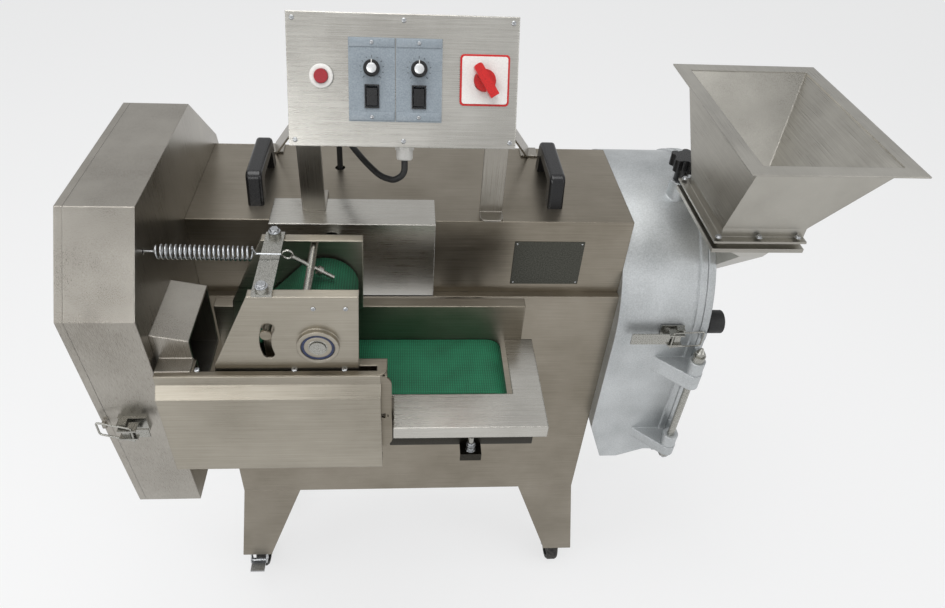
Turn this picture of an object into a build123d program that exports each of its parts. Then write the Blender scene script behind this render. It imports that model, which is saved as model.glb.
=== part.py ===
from build123d import *
from math import cos, radians, sin, tan
import os

# Vegetable cutting machine with two heads: a leaf cutting head fed by two
# belts on the left, and a root slicing head under a hopper on the right.
# Millimetres. +X runs along the machine to the hopper, +Y to its back, +Z up.
# Sizes are taken from the cabinet's left front corner on the floor, and the
# finished pieces are moved so that the origin lies under the middle of the
# whole machine, on the floor.

# Sheet and fits
SHEET = 2.0
PLATE = 3.0
GAP = 0.3
RUN = 0.05

# Cabinet
CAB_L = 660.0
CAB_D = 221.0
CAB_BOTTOM = 335.0
CAB_TOP = 980.0
PANEL_PROUD = 13.0
PANEL_TOP = 845.0

# Legs and casters
LEG_TOP_W = 110.0
LEG_FOOT_W = 62.0
LEG_SPLAY = 34.0
LEG_DEPTH = 52.0
WHEEL_R = 37.5
WHEEL_W = 24.0
CASTER_H = 97.0
CASTER_TRAIL = 24.0
AXLE_R = 5.0

# Leaf cutting head: an eight-sided housing on the cabinet's left end
HEAD_W = 82.0
LID_W = 10.0
HEAD_TOP = 1099.0
HEAD_BOTTOM = 593.0
HEAD_FRONT = -235.0
HEAD_FRONT_Z = 993.0
HEAD_BACK = 274.0
HEAD_WALL = 3.0
ROTOR_Y = 30.0
ROTOR_Z = 845.0
KNIFE_R = 231.0
LEAF_SHAFT_R = 9.0
LEAF_TUBE_R = 26.0
LEAF_PULLEY_R = 20.0
LEAF_PULLEY_X = 155.0
PULLEY_W = 20.0

# Feed conveyor
BELT_TOP = 841.0
BELT_FRONT = -213.0
BELT_BACK = -105.0
BELT_T = 2.2
ROLL_R = 22.0
ROLL_SHAFT_R = 8.0
HEAD_ROLL_X = 75.0
TAIL_ROLL_X = 437.0
TABLE_RIGHT = 506.0
TABLE_FRONT = -272.0
TABLE_LEFT = 302.0
WALL_TOP = 905.0
FLANGE_Z = 910.0
FLANGE_FRONT = -243.0
FLANGE_RIGHT = 294.0
MOUTH_L = 47.0
MOUTH_TOP = 951.0
TROUGH_L = 286.0
TROUGH_FRONT = -257.0
TROUGH_BOTTOM = 740.0

# Press unit that holds the leaves down on the belt
DRUM_X = 210.0
DRUM_Z = 954.0
DRUM_R = 41.0
DRUM_SHAFT_R = 10.0
NOSE_X = 88.0
NOSE_Z = 872.0
NOSE_R = 10.0
PRESS_FRONT = -231.5
PRESS_BACK = -106.0
PRESS_TOP = 1030.0
PRESS_SWING = 28.0
STOP_R = 64.0
STOP_ANGLE = 161.0
SPRING_R = 8.2
SPRING_WIRE = 1.3
SPRING_TURNS = 20

# Belt drive
GEAR_MODULE = 3.0
DRUM_TEETH = 12
TRANSFER_TEETH = 24
GEAR_LEAN = -35.6
SPROCKET_R = 48.0
COVER_LEFT = 121.0
COVER_RIGHT = 361.0
COVER_BOTTOM = 848.0
COVER_BACK = 54.0

# Root slicing head: a cast casing on the cabinet's right end
CASE_Y = 172.0
CASE_Z = 770.0
CASE_R = 210.0
CASE_WALL = 6.0
CASE_RIM = 4.0
CASE_L = 138.0
SEAM_X = CAB_L + CASE_L
CASE_COVER_T = 12.0
CHUTE_BOTTOM = 467.0
CHUTE_CORNER = 553.0
DISC_CLEAR = 16.0
DISC_R = CASE_R - CASE_WALL - DISC_CLEAR
DISC_X = SEAM_X - 28.0
CUT_SHAFT_R = 12.5
CUT_TUBE_R = 35.0
CUT_PULLEY_R = 42.0
CUT_PULLEY_X = CAB_L - 180.0
HINGE_X = SEAM_X - 5.0
HINGE_Y = CASE_Y - CASE_R - 35.0
HINGE_PIN_R = 6.0
HINGE_LOW = 530.0
HINGE_HIGH = 705.0
LUG_H = 30.0
KNOB_X = SEAM_X - 41.0
KNOB_Y = CASE_Y - 69.0
KNOB_SEAT_Z = CASE_Z + (CASE_R ** 2 - (CASE_Y - KNOB_Y) ** 2) ** 0.5
KNOB_Z = KNOB_SEAT_Z + 48.7
KNOB_DROP = 22.0
KNOB_STUD_R = 5.0

# Hopper and the chute under it
OPENING_SIZE = 88.0
OPENING_Y = CASE_Y - 112.0
OPENING_Z = CASE_Z + CASE_R - 138.0
KNEE_Z = CASE_Z + CASE_R - 22.0
NECK_FLANGE_Z = CASE_Z + CASE_R + 27.0
NECK_FLANGE_W = 14.0
NECK_Z = NECK_FLANGE_Z + 29.0
NECK_LEFT = SEAM_X - 48.0
NECK_RIGHT = NECK_LEFT + 114.0
NECK_FRONT = -90.0
NECK_BACK = NECK_FRONT + 138.0
RIM_LEFT = NECK_LEFT - 7.0
RIM_RIGHT = RIM_LEFT + 232.0
RIM_FRONT = NECK_FRONT - 36.0
RIM_BACK = RIM_FRONT + 341.0
RIM_Z = NECK_Z + 102.0
RIM_W = 22.0

# Control box, tilted back above the cabinet
BOX_X = 313.8
BOX_Y = 18.5
BOX_Z = 1186.0
BOX_W = 300.0
BOX_H = 168.0
BOX_DEPTH = 100.0
BOX_TILT = 26.2
SCREW_PITCH_X = 284.2
SCREW_PITCH_Z = 151.9
MODULE_W = 60.0
MODULE_H = 105.0
SWITCH_SIZE = 64.0

# Motors
CUT_MOTOR_R = 80.0
CUT_MOTOR_Y = 100.0
CUT_MOTOR_Z = 612.0
LEAF_MOTOR_R = 70.0
LEAF_MOTOR_Y = 110.0
LEAF_MOTOR_Z = 432.0
SHELF_Z = 506.0
MOTOR_SHAFT_R = 11.0

# Where the finished machine's middle lies
LID_BAIL_OUT = 4.0
MID_X = (RIM_RIGHT - HEAD_W - LID_W - LID_BAIL_OUT) / 2
MID_Y = (CASE_Y + CASE_R + CASE_RIM + TABLE_FRONT) / 2

pieces = {}


def keep(name, *solids):
    """Store one node's solids, moved to the machine's own frame."""
    moved = [Pos(-MID_X, -MID_Y, 0) * solid for solid in solids]
    pieces[name] = moved[0] if len(moved) == 1 else Compound(children=moved)


def block(x0, x1, y0, y1, z0, z1):
    """A box between two corners."""
    return Pos((x0 + x1) / 2, (y0 + y1) / 2, (z0 + z1) / 2) * Box(x1 - x0, y1 - y0, z1 - z0)


def slab_xz(points, y, depth):
    """An outline in X and Z, pulled backwards from y."""
    return extrude(plane_xz(y) * Polygon(*points, align=None), amount=depth, dir=(0, 1, 0))


def slab_yz(points, x, depth):
    """An outline in Y and Z, pulled to the right from x."""
    return extrude(plane_yz(x) * Polygon(*points, align=None), amount=depth, dir=(1, 0, 0))


def slab_xy(face, z, depth):
    """An outline in X and Y, pulled up from z."""
    return extrude(Pos(0, 0, z) * face, amount=depth, dir=(0, 0, 1))


def rod_x(x0, x1, y, z, radius):
    """A round bar along X."""
    return Pos((x0 + x1) / 2, y, z) * Rot(0, 90, 0) * Cylinder(radius, x1 - x0)


def rod_y(x, y0, y1, z, radius):
    """A round bar along Y."""
    return Pos(x, (y0 + y1) / 2, z) * Rot(90, 0, 0) * Cylinder(radius, y1 - y0)


def rod_z(x, y, z0, z1, radius):
    """A round bar along Z."""
    return Pos(x, y, (z0 + z1) / 2) * Cylinder(radius, z1 - z0)


def rod(start, end, radius):
    """A round bar between two points."""
    line = Vector(*end) - Vector(*start)
    return extrude(Plane(origin=start, z_dir=line) * Circle(radius), amount=line.length)


def loop_band(plane, along, ends, inner, outer, width):
    """A belt round two wheels, whose outline is pulled along the plane's normal."""
    rims = []
    for grow in (outer, inner):
        edges = [(Pos(u, v) * Circle(r + grow)).edges() for u, v, r in ends]
        rims.append(make_hull([edge for group in edges for edge in group]))
    return extrude(plane * (rims[0] - rims[1]), amount=width, dir=along)


# Planes whose first axis is X or Y and second is Z
def plane_xz(y):
    return Plane(origin=(0, y, 0), x_dir=(1, 0, 0), z_dir=(0, -1, 0))


def plane_yz(x):
    return Plane(origin=(x, 0, 0), x_dir=(0, 1, 0), z_dir=(1, 0, 0))


# Cabinet shell: folded sheet, open at the back and in the lower front, with
# a shelf for the slicing motor
def cabinet_shell():
    shell = block(0, CAB_L, 0, CAB_D, CAB_BOTTOM, CAB_TOP)
    shell -= block(SHEET, CAB_L - SHEET, SHEET, CAB_D + SHEET, CAB_BOTTOM + SHEET, CAB_TOP - SHEET)
    rim = 20.0
    shell -= block(rim, CAB_L - rim, -SHEET, SHEET * 2, CAB_BOTTOM + rim, PANEL_TOP - rim)
    shell += block(SHEET, CAB_L - SHEET, CAB_D - rim, CAB_D, CAB_BOTTOM + SHEET, CAB_BOTTOM + rim)
    shell -= block(DRUM_X + 80, COVER_RIGHT - 14, -SHEET, SHEET * 2, COVER_BOTTOM + 12, CAB_TOP - 15)
    shell += rod_y(DRUM_X, SHEET, GEAR_Y - 1, DRUM_Z, DRUM_SHAFT_R + 8)
    shell -= rod_y(DRUM_X, -1, GEAR_Y, DRUM_Z, DRUM_SHAFT_R + RUN)
    shell -= rod_x(-SHEET, SHEET * 2, ROTOR_Y, ROTOR_Z, LEAF_SHAFT_R + 3)
    shell -= rod_x(CAB_L - SHEET * 2, CAB_L + SHEET, CASE_Y, CASE_Z, CUT_SHAFT_R + 4)
    left = 186.0
    right = 503.0
    tray = block(left, right, SHEET, CAB_D - rim, CAB_BOTTOM + SHEET, SHELF_Z + PLATE)
    tray -= block(left + PLATE, right - PLATE, 0, CAB_D, CAB_BOTTOM, SHELF_Z)
    tray -= rod_x(left - 1, left + PLATE + 1, LEAF_MOTOR_Y, LEAF_MOTOR_Z, MOTOR_SHAFT_R + 3)
    shell += tray
    shell -= rod_z(CABLE_END[0], CABLE_END[1], CAB_TOP - SHEET * 2, CAB_TOP + SHEET, GROMMET_R)
    keep("cabinet_shell", shell)


# Lower front panel: a shallow folded tray that stands proud of the cabinet
def lower_front_panel():
    tray = block(0, CAB_L, -PANEL_PROUD, 0, CAB_BOTTOM, PANEL_TOP)
    tray -= block(SHEET, CAB_L - SHEET, SHEET - PANEL_PROUD, SHEET, CAB_BOTTOM + SHEET, PANEL_TOP - SHEET)
    tray -= rod_y(TAIL_ROLL_X, -PANEL_PROUD * 2, SHEET, ROLL_Z, ROLL_SHAFT_R + 4)
    return tray


# Rear panel: flat sheet with a folded edge, and a row of cooling louvres
def rear_panel():
    edge = 8.0
    panel = block(0, CAB_L, CAB_D, CAB_D + SHEET, CAB_BOTTOM, CAB_TOP)
    panel += block(SHEET + GAP, CAB_L - SHEET - GAP, CAB_D - edge, CAB_D,
                   CAB_TOP - SHEET - GAP - SHEET, CAB_TOP - SHEET - GAP)
    slot_w = 70.0
    slot_h = 5.0
    for column in range(4):
        for row in range(6):
            x = 110 + column * 110
            z = 420 + row * 18
            panel -= block(x, x + slot_w, CAB_D - edge, CAB_D + SHEET * 2, z, z + slot_h)
    return panel


# One leg: sheet folded to an angle, tapering and splaying outwards
def leg(side, front):
    top_out = 0.0 if side < 0 else CAB_L
    y_top = -PANEL_PROUD if front else CAB_D
    y_sign = 1 if front else -1
    foot_out = top_out + side * LEG_SPLAY
    outline_top = [
        (top_out, y_top),
        (top_out - side * LEG_TOP_W, y_top),
        (top_out - side * LEG_TOP_W, y_top + y_sign * PLATE),
        (top_out - side * PLATE, y_top + y_sign * PLATE),
        (top_out - side * PLATE, y_top + y_sign * LEG_DEPTH),
        (top_out, y_top + y_sign * LEG_DEPTH),
    ]
    outline_foot = [
        (foot_out, y_top),
        (foot_out - side * LEG_FOOT_W, y_top),
        (foot_out - side * LEG_FOOT_W, y_top + y_sign * PLATE),
        (foot_out - side * PLATE, y_top + y_sign * PLATE),
        (foot_out - side * PLATE, y_top + y_sign * LEG_DEPTH),
        (foot_out, y_top + y_sign * LEG_DEPTH),
    ]
    top = Plane(origin=(0, 0, CAB_BOTTOM)) * Polygon(*outline_top, align=None)
    foot = Plane(origin=(0, 0, CASTER_H + PLATE)) * Polygon(*outline_foot, align=None)
    angle = loft([foot, top])
    x0 = min(foot_out, foot_out - side * LEG_FOOT_W)
    y0 = min(y_top, y_top + y_sign * LEG_DEPTH)
    sole = block(x0, x0 + LEG_FOOT_W, y0, y0 + LEG_DEPTH, CASTER_H, CASTER_H + PLATE)
    return angle + sole


def caster_spot(side, front):
    """Middle of a caster's top plate."""
    x = (0.0 if side < 0 else CAB_L) + side * (LEG_SPLAY - LEG_FOOT_W / 2)
    y = (-PANEL_PROUD + LEG_DEPTH / 2) if front else (CAB_D - LEG_DEPTH / 2)
    return x, y


LEG_CORNERS = {"front_left": (-1, True), "front_right": (1, True),
               "rear_left": (-1, False), "rear_right": (1, False)}


def leg_frames():
    keep("leg_frames", *[leg(side, front) for side, front in LEG_CORNERS.values()])


# Casters: a pressed fork under a top plate, and a wheel on an axle. The
# front two swivel and carry a brake pedal, the rear two are fixed.
def caster_fork(x, y, swivels):
    cheek_t = 2.5
    inner = WHEEL_W / 2 + 2.0
    axle_y = y + CASTER_TRAIL
    crown = CASTER_H - 9
    top_plate = block(x - 26, x + 26, y - 24, y + 24, CASTER_H - PLATE, CASTER_H)
    fork = rod_z(x, y, crown - cheek_t, CASTER_H - PLATE, 18)
    for sign in (-1, 1):
        x0 = x + sign * inner
        x1 = x + sign * (inner + cheek_t)
        cheek = slab_yz([(y - 18, crown), (y + 22, crown), (axle_y + 11, WHEEL_R + 4),
                         (axle_y + 7, WHEEL_R - 10), (axle_y - 8, WHEEL_R - 10), (axle_y - 14, WHEEL_R + 8)],
                        min(x0, x1), cheek_t)
        fork += cheek
    fork += block(x - inner - cheek_t, x + inner + cheek_t, y - 18, y + 22, crown - cheek_t, crown)
    fork += rod_x(x - inner - cheek_t - 4, x + inner + cheek_t + 4, axle_y, WHEEL_R, AXLE_R)
    if swivels:
        return fork, top_plate
    return fork + top_plate


def caster_wheel(x, y):
    axle_y = y + CASTER_TRAIL
    profile = [(AXLE_R + RUN, 0), (WHEEL_R - 3, 0), (WHEEL_R, 4), (WHEEL_R, WHEEL_W - 4), (WHEEL_R - 3, WHEEL_W),
               (WHEEL_R - 9, WHEEL_W), (WHEEL_R - 9, WHEEL_W - 4), (13, WHEEL_W - 4), (13, WHEEL_W),
               (AXLE_R + RUN, WHEEL_W)]
    face = Plane.XZ * Polygon(*profile, align=None)
    wheel = revolve(face, Axis.Z)
    wheel -= Pos(0, 0, -1) * (Cylinder(WHEEL_R - 9, 10) - Cylinder(13, 12))
    return Pos(x - WHEEL_W / 2, axle_y, WHEEL_R) * Rot(0, 90, 0) * wheel


def brake_pedal(x, y):
    """A pressed pedal in front of the fork, on its own pin."""
    pin_z = CASTER_H - 24
    pad = block(x - 15, x + 15, y - 52, y - 24, pin_z - 2, pin_z + 2)
    pad += rod_x(x - 15, x + 15, y - 24, pin_z, 4)
    return pad - rod_x(x - 20, x + 20, y - 24, pin_z, 2 + RUN)


def casters():
    fixed = []
    plates = []
    for name, (side, front) in LEG_CORNERS.items():
        x, y = caster_spot(side, front)
        keep("caster_wheel_" + name, caster_wheel(x, y))
        if front:
            braked = side < 0
            fork, top_plate = caster_fork(x, y, True)
            pin_z = CASTER_H - 24
            if braked:
                ear = [(y - 30, pin_z - 5), (y - 14, pin_z - 8), (y - 14, CASTER_H - 9), (y - 30, pin_z + 5)]
                fork += slab_yz(ear, x - 17.7, 2.4) + slab_yz(ear, x + 15.3, 2.4)
                fork += rod_x(x - 18, x + 18, y - 24, pin_z, 2)
                keep("brake_pedal", brake_pedal(x, y))
            keep("caster_fork_" + name, fork)
            plates.append(top_plate)
        else:
            fixed.append(caster_fork(x, y, False))
    keep("caster_mounts", *fixed, *plates)


# Leaf cutting head: outline in Y and Z, shrunk by an inset for inner faces
def head_outline():
    return [(-204, HEAD_BOTTOM), (190, HEAD_BOTTOM), (HEAD_BACK, 770), (HEAD_BACK, 860), (236, 990),
            (122, HEAD_TOP), (-150, HEAD_TOP), (HEAD_FRONT, HEAD_FRONT_Z)]


def head_face(inset):
    face = Polygon(*head_outline(), align=None)
    return offset(face, amount=-inset, kind=Kind.INTERSECTION) if inset else face


LID_HINGE_Y = HEAD_BACK + 7.0
LID_HINGE_X = -HEAD_W
MOUTH_FRONT = -196.0
MOUTH_REAR = -110.0


def leaf_housing():
    body = extrude(plane_yz(-HEAD_W) * head_face(0), amount=HEAD_W)
    body -= extrude(plane_yz(-HEAD_W - 1) * head_face(HEAD_WALL), amount=HEAD_W - HEAD_WALL + 1)
    body -= block(-HEAD_W - 1, -HEAD_WALL, -190, 176, HEAD_BOTTOM - 5, HEAD_BOTTOM + HEAD_WALL + 1)
    body -= block(-HEAD_WALL * 2, 1, MOUTH_FRONT, MOUTH_REAR, BELT_TOP, MOUTH_TOP - 20)
    body -= rod_x(-HEAD_WALL * 2, 1, ROTOR_Y, ROTOR_Z, LEAF_SHAFT_R + 3)
    body -= rod_x(-HEAD_WALL * 2, 1, -160, 1042, 4)
    for z0, z1 in ((778, 793), (838, 853)):
        knuckle = rod_z(LID_HINGE_X, LID_HINGE_Y, z0, z1, 6)
        knuckle += block(LID_HINGE_X, LID_HINGE_X + 10, HEAD_BACK, LID_HINGE_Y, z0, z1)
        body += knuckle
    body += rod_z(LID_HINGE_X, LID_HINGE_Y, 775, 856, 3)
    keep("leaf_housing", body)


def leaf_lid():
    outer = extrude(plane_yz(-HEAD_W - LID_W) * head_face(0), amount=LID_W - GAP)
    outer -= extrude(plane_yz(-HEAD_W - LID_W + SHEET) * head_face(SHEET), amount=LID_W)
    knuckle = rod_z(LID_HINGE_X, LID_HINGE_Y, 793 + GAP, 838 - GAP, 6)
    knuckle += block(LID_HINGE_X - LID_W, LID_HINGE_X - 1, HEAD_BACK - 2, LID_HINGE_Y, 793 + GAP, 838 - GAP)
    knuckle -= rod_z(LID_HINGE_X, LID_HINGE_Y, 790, 841, 3 + RUN)
    lid = outer + knuckle
    lid += slab_yz([(-227, 802), (-218, 802), (-218, 792), (-227, 792)], -HEAD_W - LID_W + 2, 5)
    keep("leaf_lid", lid)


# Curved leaf knives on a hub: three blades, each a sickle cut from plate
def leaf_knives():
    thick = 3.0
    x = -HEAD_W + 22
    hub = Cylinder(34, 24) - Cylinder(LEAF_SHAFT_R, 30)
    outer_r = 150.0
    inner_r = 138.0
    blade = Pos(KNIFE_R - outer_r, 0) * Circle(outer_r)
    blade -= Pos(KNIFE_R - outer_r - 42, -34) * Circle(inner_r)
    blade &= Pos(0, KNIFE_R / 2) * Rectangle(2 * KNIFE_R + 10, KNIFE_R + 10)
    root = Rot(0, 0, 8) * Pos(KNIFE_R / 2, 0) * Rectangle(KNIFE_R - 55, 30)
    flat = extrude(blade, amount=thick)
    knives = hub
    for turn in range(3):
        arm = Rot(0, 0, turn * 120) * (flat + extrude(root, amount=thick))
        knives += arm
    limit = Cylinder(KNIFE_R, 60) - Cylinder(LEAF_SHAFT_R, 60)
    knives = knives & limit
    keep("leaf_knives", Pos(x, ROTOR_Y, ROTOR_Z) * Rot(0, 90, 0) * knives)


def leaf_shaft():
    shaft = rod_x(-HEAD_W + 6, LEAF_PULLEY_X + PULLEY_W + 6, ROTOR_Y, ROTOR_Z, LEAF_SHAFT_R)
    shaft += rod_x(-HEAD_W + 2, -HEAD_W + 9, ROTOR_Y, ROTOR_Z, 15)
    shaft += grooved_pulley(LEAF_PULLEY_X, ROTOR_Y, ROTOR_Z, LEAF_PULLEY_R)
    keep("leaf_shaft", shaft)


def grooved_pulley(x, y, z, radius):
    """A flanged pulley with a flat between two rims."""
    wheel = rod_x(x, x + PULLEY_W, y, z, radius + 3)
    groove = rod_x(x + 3, x + PULLEY_W - 3, y, z, radius + 5) - rod_x(x, x + PULLEY_W, y, z, radius)
    return wheel - groove


def spindle_housings():
    leaf = rod_x(SHEET, LEAF_PULLEY_X - 7, ROTOR_Y, ROTOR_Z, LEAF_TUBE_R)
    leaf -= rod_x(0, LEAF_PULLEY_X, ROTOR_Y, ROTOR_Z, LEAF_SHAFT_R + RUN)
    cut = rod_x(CUT_PULLEY_X + PULLEY_W + 14, CAB_L - SHEET, CASE_Y, CASE_Z, CUT_TUBE_R)
    cut += rod_x(CAB_L - SHEET - 10, CAB_L - SHEET, CASE_Y, CASE_Z, CAB_D - CASE_Y - 3)
    cut -= rod_x(CUT_PULLEY_X, CAB_L, CASE_Y, CASE_Z, CUT_SHAFT_R + RUN)
    keep("spindle_housings", leaf, cut)


# Mouth box between the belt and the leaf head: a folded tapering hood
def mouth_box():
    front = BELT_FRONT
    back = BELT_BACK + 2
    low = BELT_TOP - PLATE
    hood = slab_xz([(0, low), (MOUTH_L, low), (MOUTH_L, MOUTH_TOP - 10), (0, MOUTH_TOP)],
                   front, back - front)
    end = MOUTH_L + 1
    hood -= slab_xz([(-1, BELT_TOP), (end, BELT_TOP), (end, MOUTH_TOP - 13), (-1, MOUTH_TOP - 3)],
                    front + PLATE, back - front - 2 * PLATE)
    hood += block(5, MOUTH_L + 2, FLANGE_FRONT + 6, front, FLANGE_Z, FLANGE_Z + SHEET)
    keep("mouth_box", hood)


ROLL_Z = BELT_TOP - BELT_T - GAP - ROLL_R
WALL_Y = BELT_FRONT - PLATE
REAR_WALL_Y = BELT_BACK


# Conveyor side plates: a channel with a slotted top flange in front, a
# guide wall behind, and two channels that carry both from the cabinet
def conveyor_side_plates():
    low = BELT_TOP - 52
    front = block(50, FLANGE_RIGHT, WALL_Y, WALL_Y + PLATE, low, FLANGE_Z)
    front += block(5, 60, WALL_Y, WALL_Y + PLATE, low + 20, FLANGE_Z)
    flange = block(5, FLANGE_RIGHT, FLANGE_FRONT, WALL_Y + PLATE, FLANGE_Z - SHEET, FLANGE_Z)
    flange = fillet(flange.edges().filter_by(Axis.Z).group_by(Axis.X)[-1].group_by(Axis.Y)[0], 12)
    flange -= block(52, 281, PRESS_FRONT - 3, PRESS_FRONT + PLATE + 3, FLANGE_Z - 9, FLANGE_Z + 9)
    front += flange
    end_left = 5.0
    end = block(end_left, TABLE_LEFT - 2, FLANGE_FRONT, FLANGE_FRONT + PLATE, 768, FLANGE_Z - SHEET)
    end = fillet(end.edges().filter_by(Axis.Y).group_by(Axis.X)[-1], 16)
    end -= rod_y(290, FLANGE_FRONT - 5, WALL_Y, 832, 5)
    front += end
    front += block(FLANGE_RIGHT - PLATE, FLANGE_RIGHT, FLANGE_FRONT, WALL_Y, low, FLANGE_Z - SHEET)
    front += block(TABLE_LEFT - 12, TAIL_ROLL_X + 24, WALL_Y, WALL_Y + PLATE, low, BELT_TOP - PLATE - GAP)
    for x in (HEAD_ROLL_X, TAIL_ROLL_X):
        front -= rod_y(x, WALL_Y - 5, WALL_Y + PLATE + 1, ROLL_Z, ROLL_SHAFT_R + RUN)
    notch_left = 52.0
    notch_right = 114.0
    front -= block(notch_left, notch_right, PRESS_FRONT - 3, WALL_Y + PLATE + 1, NOSE_Z - 16, FLANGE_Z + 1)
    front += stop_bracket()
    back = block(50, 490, REAR_WALL_Y, REAR_WALL_Y + PLATE, low, WALL_TOP)
    back += block(50, 490, REAR_WALL_Y, REAR_WALL_Y + 18, WALL_TOP - SHEET, WALL_TOP)
    for x in (HEAD_ROLL_X, TAIL_ROLL_X):
        back -= rod_y(x, REAR_WALL_Y - 1, REAR_WALL_Y + PLATE + 1, ROLL_Z, ROLL_SHAFT_R + RUN)
    carriers = []
    for x in (130, 380):
        channel = block(x, x + 40, WALL_Y, -PANEL_PROUD, low - 30, low)
        channel -= block(x + PLATE, x + 40 - PLATE, WALL_Y - 1, 0, low - 31, low - PLATE)
        carriers.append(channel)
    keep("conveyor_frame", front, back, table_rail(), *carriers)


def stop_point():
    """Middle of the fixed pin that stops the press unit's swing."""
    angle = radians(STOP_ANGLE)
    return DRUM_X + STOP_R * cos(angle), DRUM_Z + STOP_R * sin(angle)


def stop_bracket():
    x, z = stop_point()
    post = block(x - 9, x + 9, WALL_Y, WALL_Y + PLATE, FLANGE_Z - 5, z + 9)
    pin = rod_y(x, PRESS_FRONT - 7, WALL_Y + PLATE, z, 5)
    head = rod_y(x, PRESS_FRONT - 7, PRESS_FRONT - 2, z, 7)
    return post + pin + head


def feed_table():
    top = BELT_TOP
    edge = 20.0
    plate = block(TABLE_LEFT, TABLE_RIGHT, TABLE_FRONT, BELT_FRONT - GAP, top - SHEET, top)
    plate += block(TAIL_ROLL_X + ROLL_R + 6, TABLE_RIGHT, TABLE_FRONT, REAR_WALL_Y - GAP, top - SHEET, top)
    plate += block(TABLE_LEFT, TABLE_RIGHT, TABLE_FRONT, TABLE_FRONT + SHEET, top - edge, top)
    plate += block(TABLE_RIGHT - SHEET, TABLE_RIGHT, TABLE_FRONT, REAR_WALL_Y - GAP, top - edge, top)
    plate += block(TABLE_LEFT, TABLE_LEFT + SHEET, TABLE_FRONT, WALL_Y - GAP, top - edge, top)
    bed_top = BELT_TOP - BELT_T - GAP
    bed_left = HEAD_ROLL_X + ROLL_R + 6
    bed_right = TAIL_ROLL_X - ROLL_R - 6
    bed = block(bed_left, bed_right, BELT_FRONT, BELT_BACK, bed_top - PLATE, bed_top)
    keep("feed_table", plate, bed)


def table_rail():
    low = 784.0
    bar = block(FLANGE_RIGHT + 2, TABLE_RIGHT + 4, WALL_Y - 14, WALL_Y - 2, low, low + 12)
    bar += block(320, 350, WALL_Y - 2, WALL_Y, low, low + 12)
    bar += block(TAIL_ROLL_X - 12, TAIL_ROLL_X + 18, WALL_Y - 2, WALL_Y, low + 5.2, low + 12)
    bar += block(TABLE_RIGHT - 6, TABLE_RIGHT + 4, WALL_Y - 20, WALL_Y - 2, low - 8, low + 20)
    latch = block(396, 424, WALL_Y - 22, WALL_Y - 14, low - 6, low + 10)
    latch += rod_z(410, WALL_Y - 18, low - 16, low - 6, 4)
    return bar + latch


def trough_cover():
    t = 1.5
    face_y = FLANGE_FRONT - t
    strip = FLANGE_Z - 14
    outer = [(FLANGE_FRONT, FLANGE_Z), (face_y, FLANGE_Z), (face_y, strip), (TROUGH_FRONT, strip - 15),
             (TROUGH_FRONT, TROUGH_BOTTOM), (FLANGE_FRONT + 10, TROUGH_BOTTOM),
             (FLANGE_FRONT + 10, TROUGH_BOTTOM + t), (TROUGH_FRONT + t, TROUGH_BOTTOM + t), (TROUGH_FRONT + t, strip - 16), (FLANGE_FRONT, strip - 2)]
    sheet = slab_yz(outer, 5, TROUGH_L - 5)
    end = [(FLANGE_FRONT - GAP, strip - 3), (TROUGH_FRONT + t, strip - 16),
           (TROUGH_FRONT + t, TROUGH_BOTTOM + t), (FLANGE_FRONT - GAP, TROUGH_BOTTOM + t)]
    sheet += slab_yz(end, TROUGH_L - t, t)
    sheet += slab_yz(end, 5, t)
    keep("trough_cover", sheet)


# Rollers: a knurled drum on a shaft that runs through both side plates
def roller(x, back):
    barrel = rod_y(x, BELT_FRONT + 2, BELT_BACK - 2, ROLL_Z, ROLL_R)
    return barrel + rod_y(x, WALL_Y - 4, back, ROLL_Z, ROLL_SHAFT_R)


def rollers():
    keep("idle_roller", roller(HEAD_ROLL_X, REAR_WALL_Y + PLATE + 6))
    driven = roller(TAIL_ROLL_X, CHAIN_Y + CHAIN_W + 2)
    driven += rod_y(TAIL_ROLL_X, CHAIN_Y, CHAIN_Y + CHAIN_W, ROLL_Z, TAIL_SPROCKET_R)
    keep("drive_roller", driven)
    ends = [(HEAD_ROLL_X, ROLL_Z, ROLL_R), (TAIL_ROLL_X, ROLL_Z, ROLL_R)]
    belt = loop_band(plane_xz(BELT_FRONT + 1), (0, 1, 0), ends, GAP, GAP + BELT_T, BELT_BACK - BELT_FRONT - 2)
    keep("lower_belt", belt)


# Both belts run at one speed, which fixes the tail sprocket's size
BELT_RATIO = (DRUM_R + GAP + BELT_T) / (ROLL_R + GAP + BELT_T)
TAIL_SPROCKET_R = SPROCKET_R * DRUM_TEETH / TRANSFER_TEETH / BELT_RATIO


# Press unit
def press_outline():
    return [(132, PRESS_TOP), (262, PRESS_TOP), (258, 905), (NOSE_X, NOSE_Z - NOSE_R - 4),
            (NOSE_X - NOSE_R - 4, NOSE_Z), (79, 918)]


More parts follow.
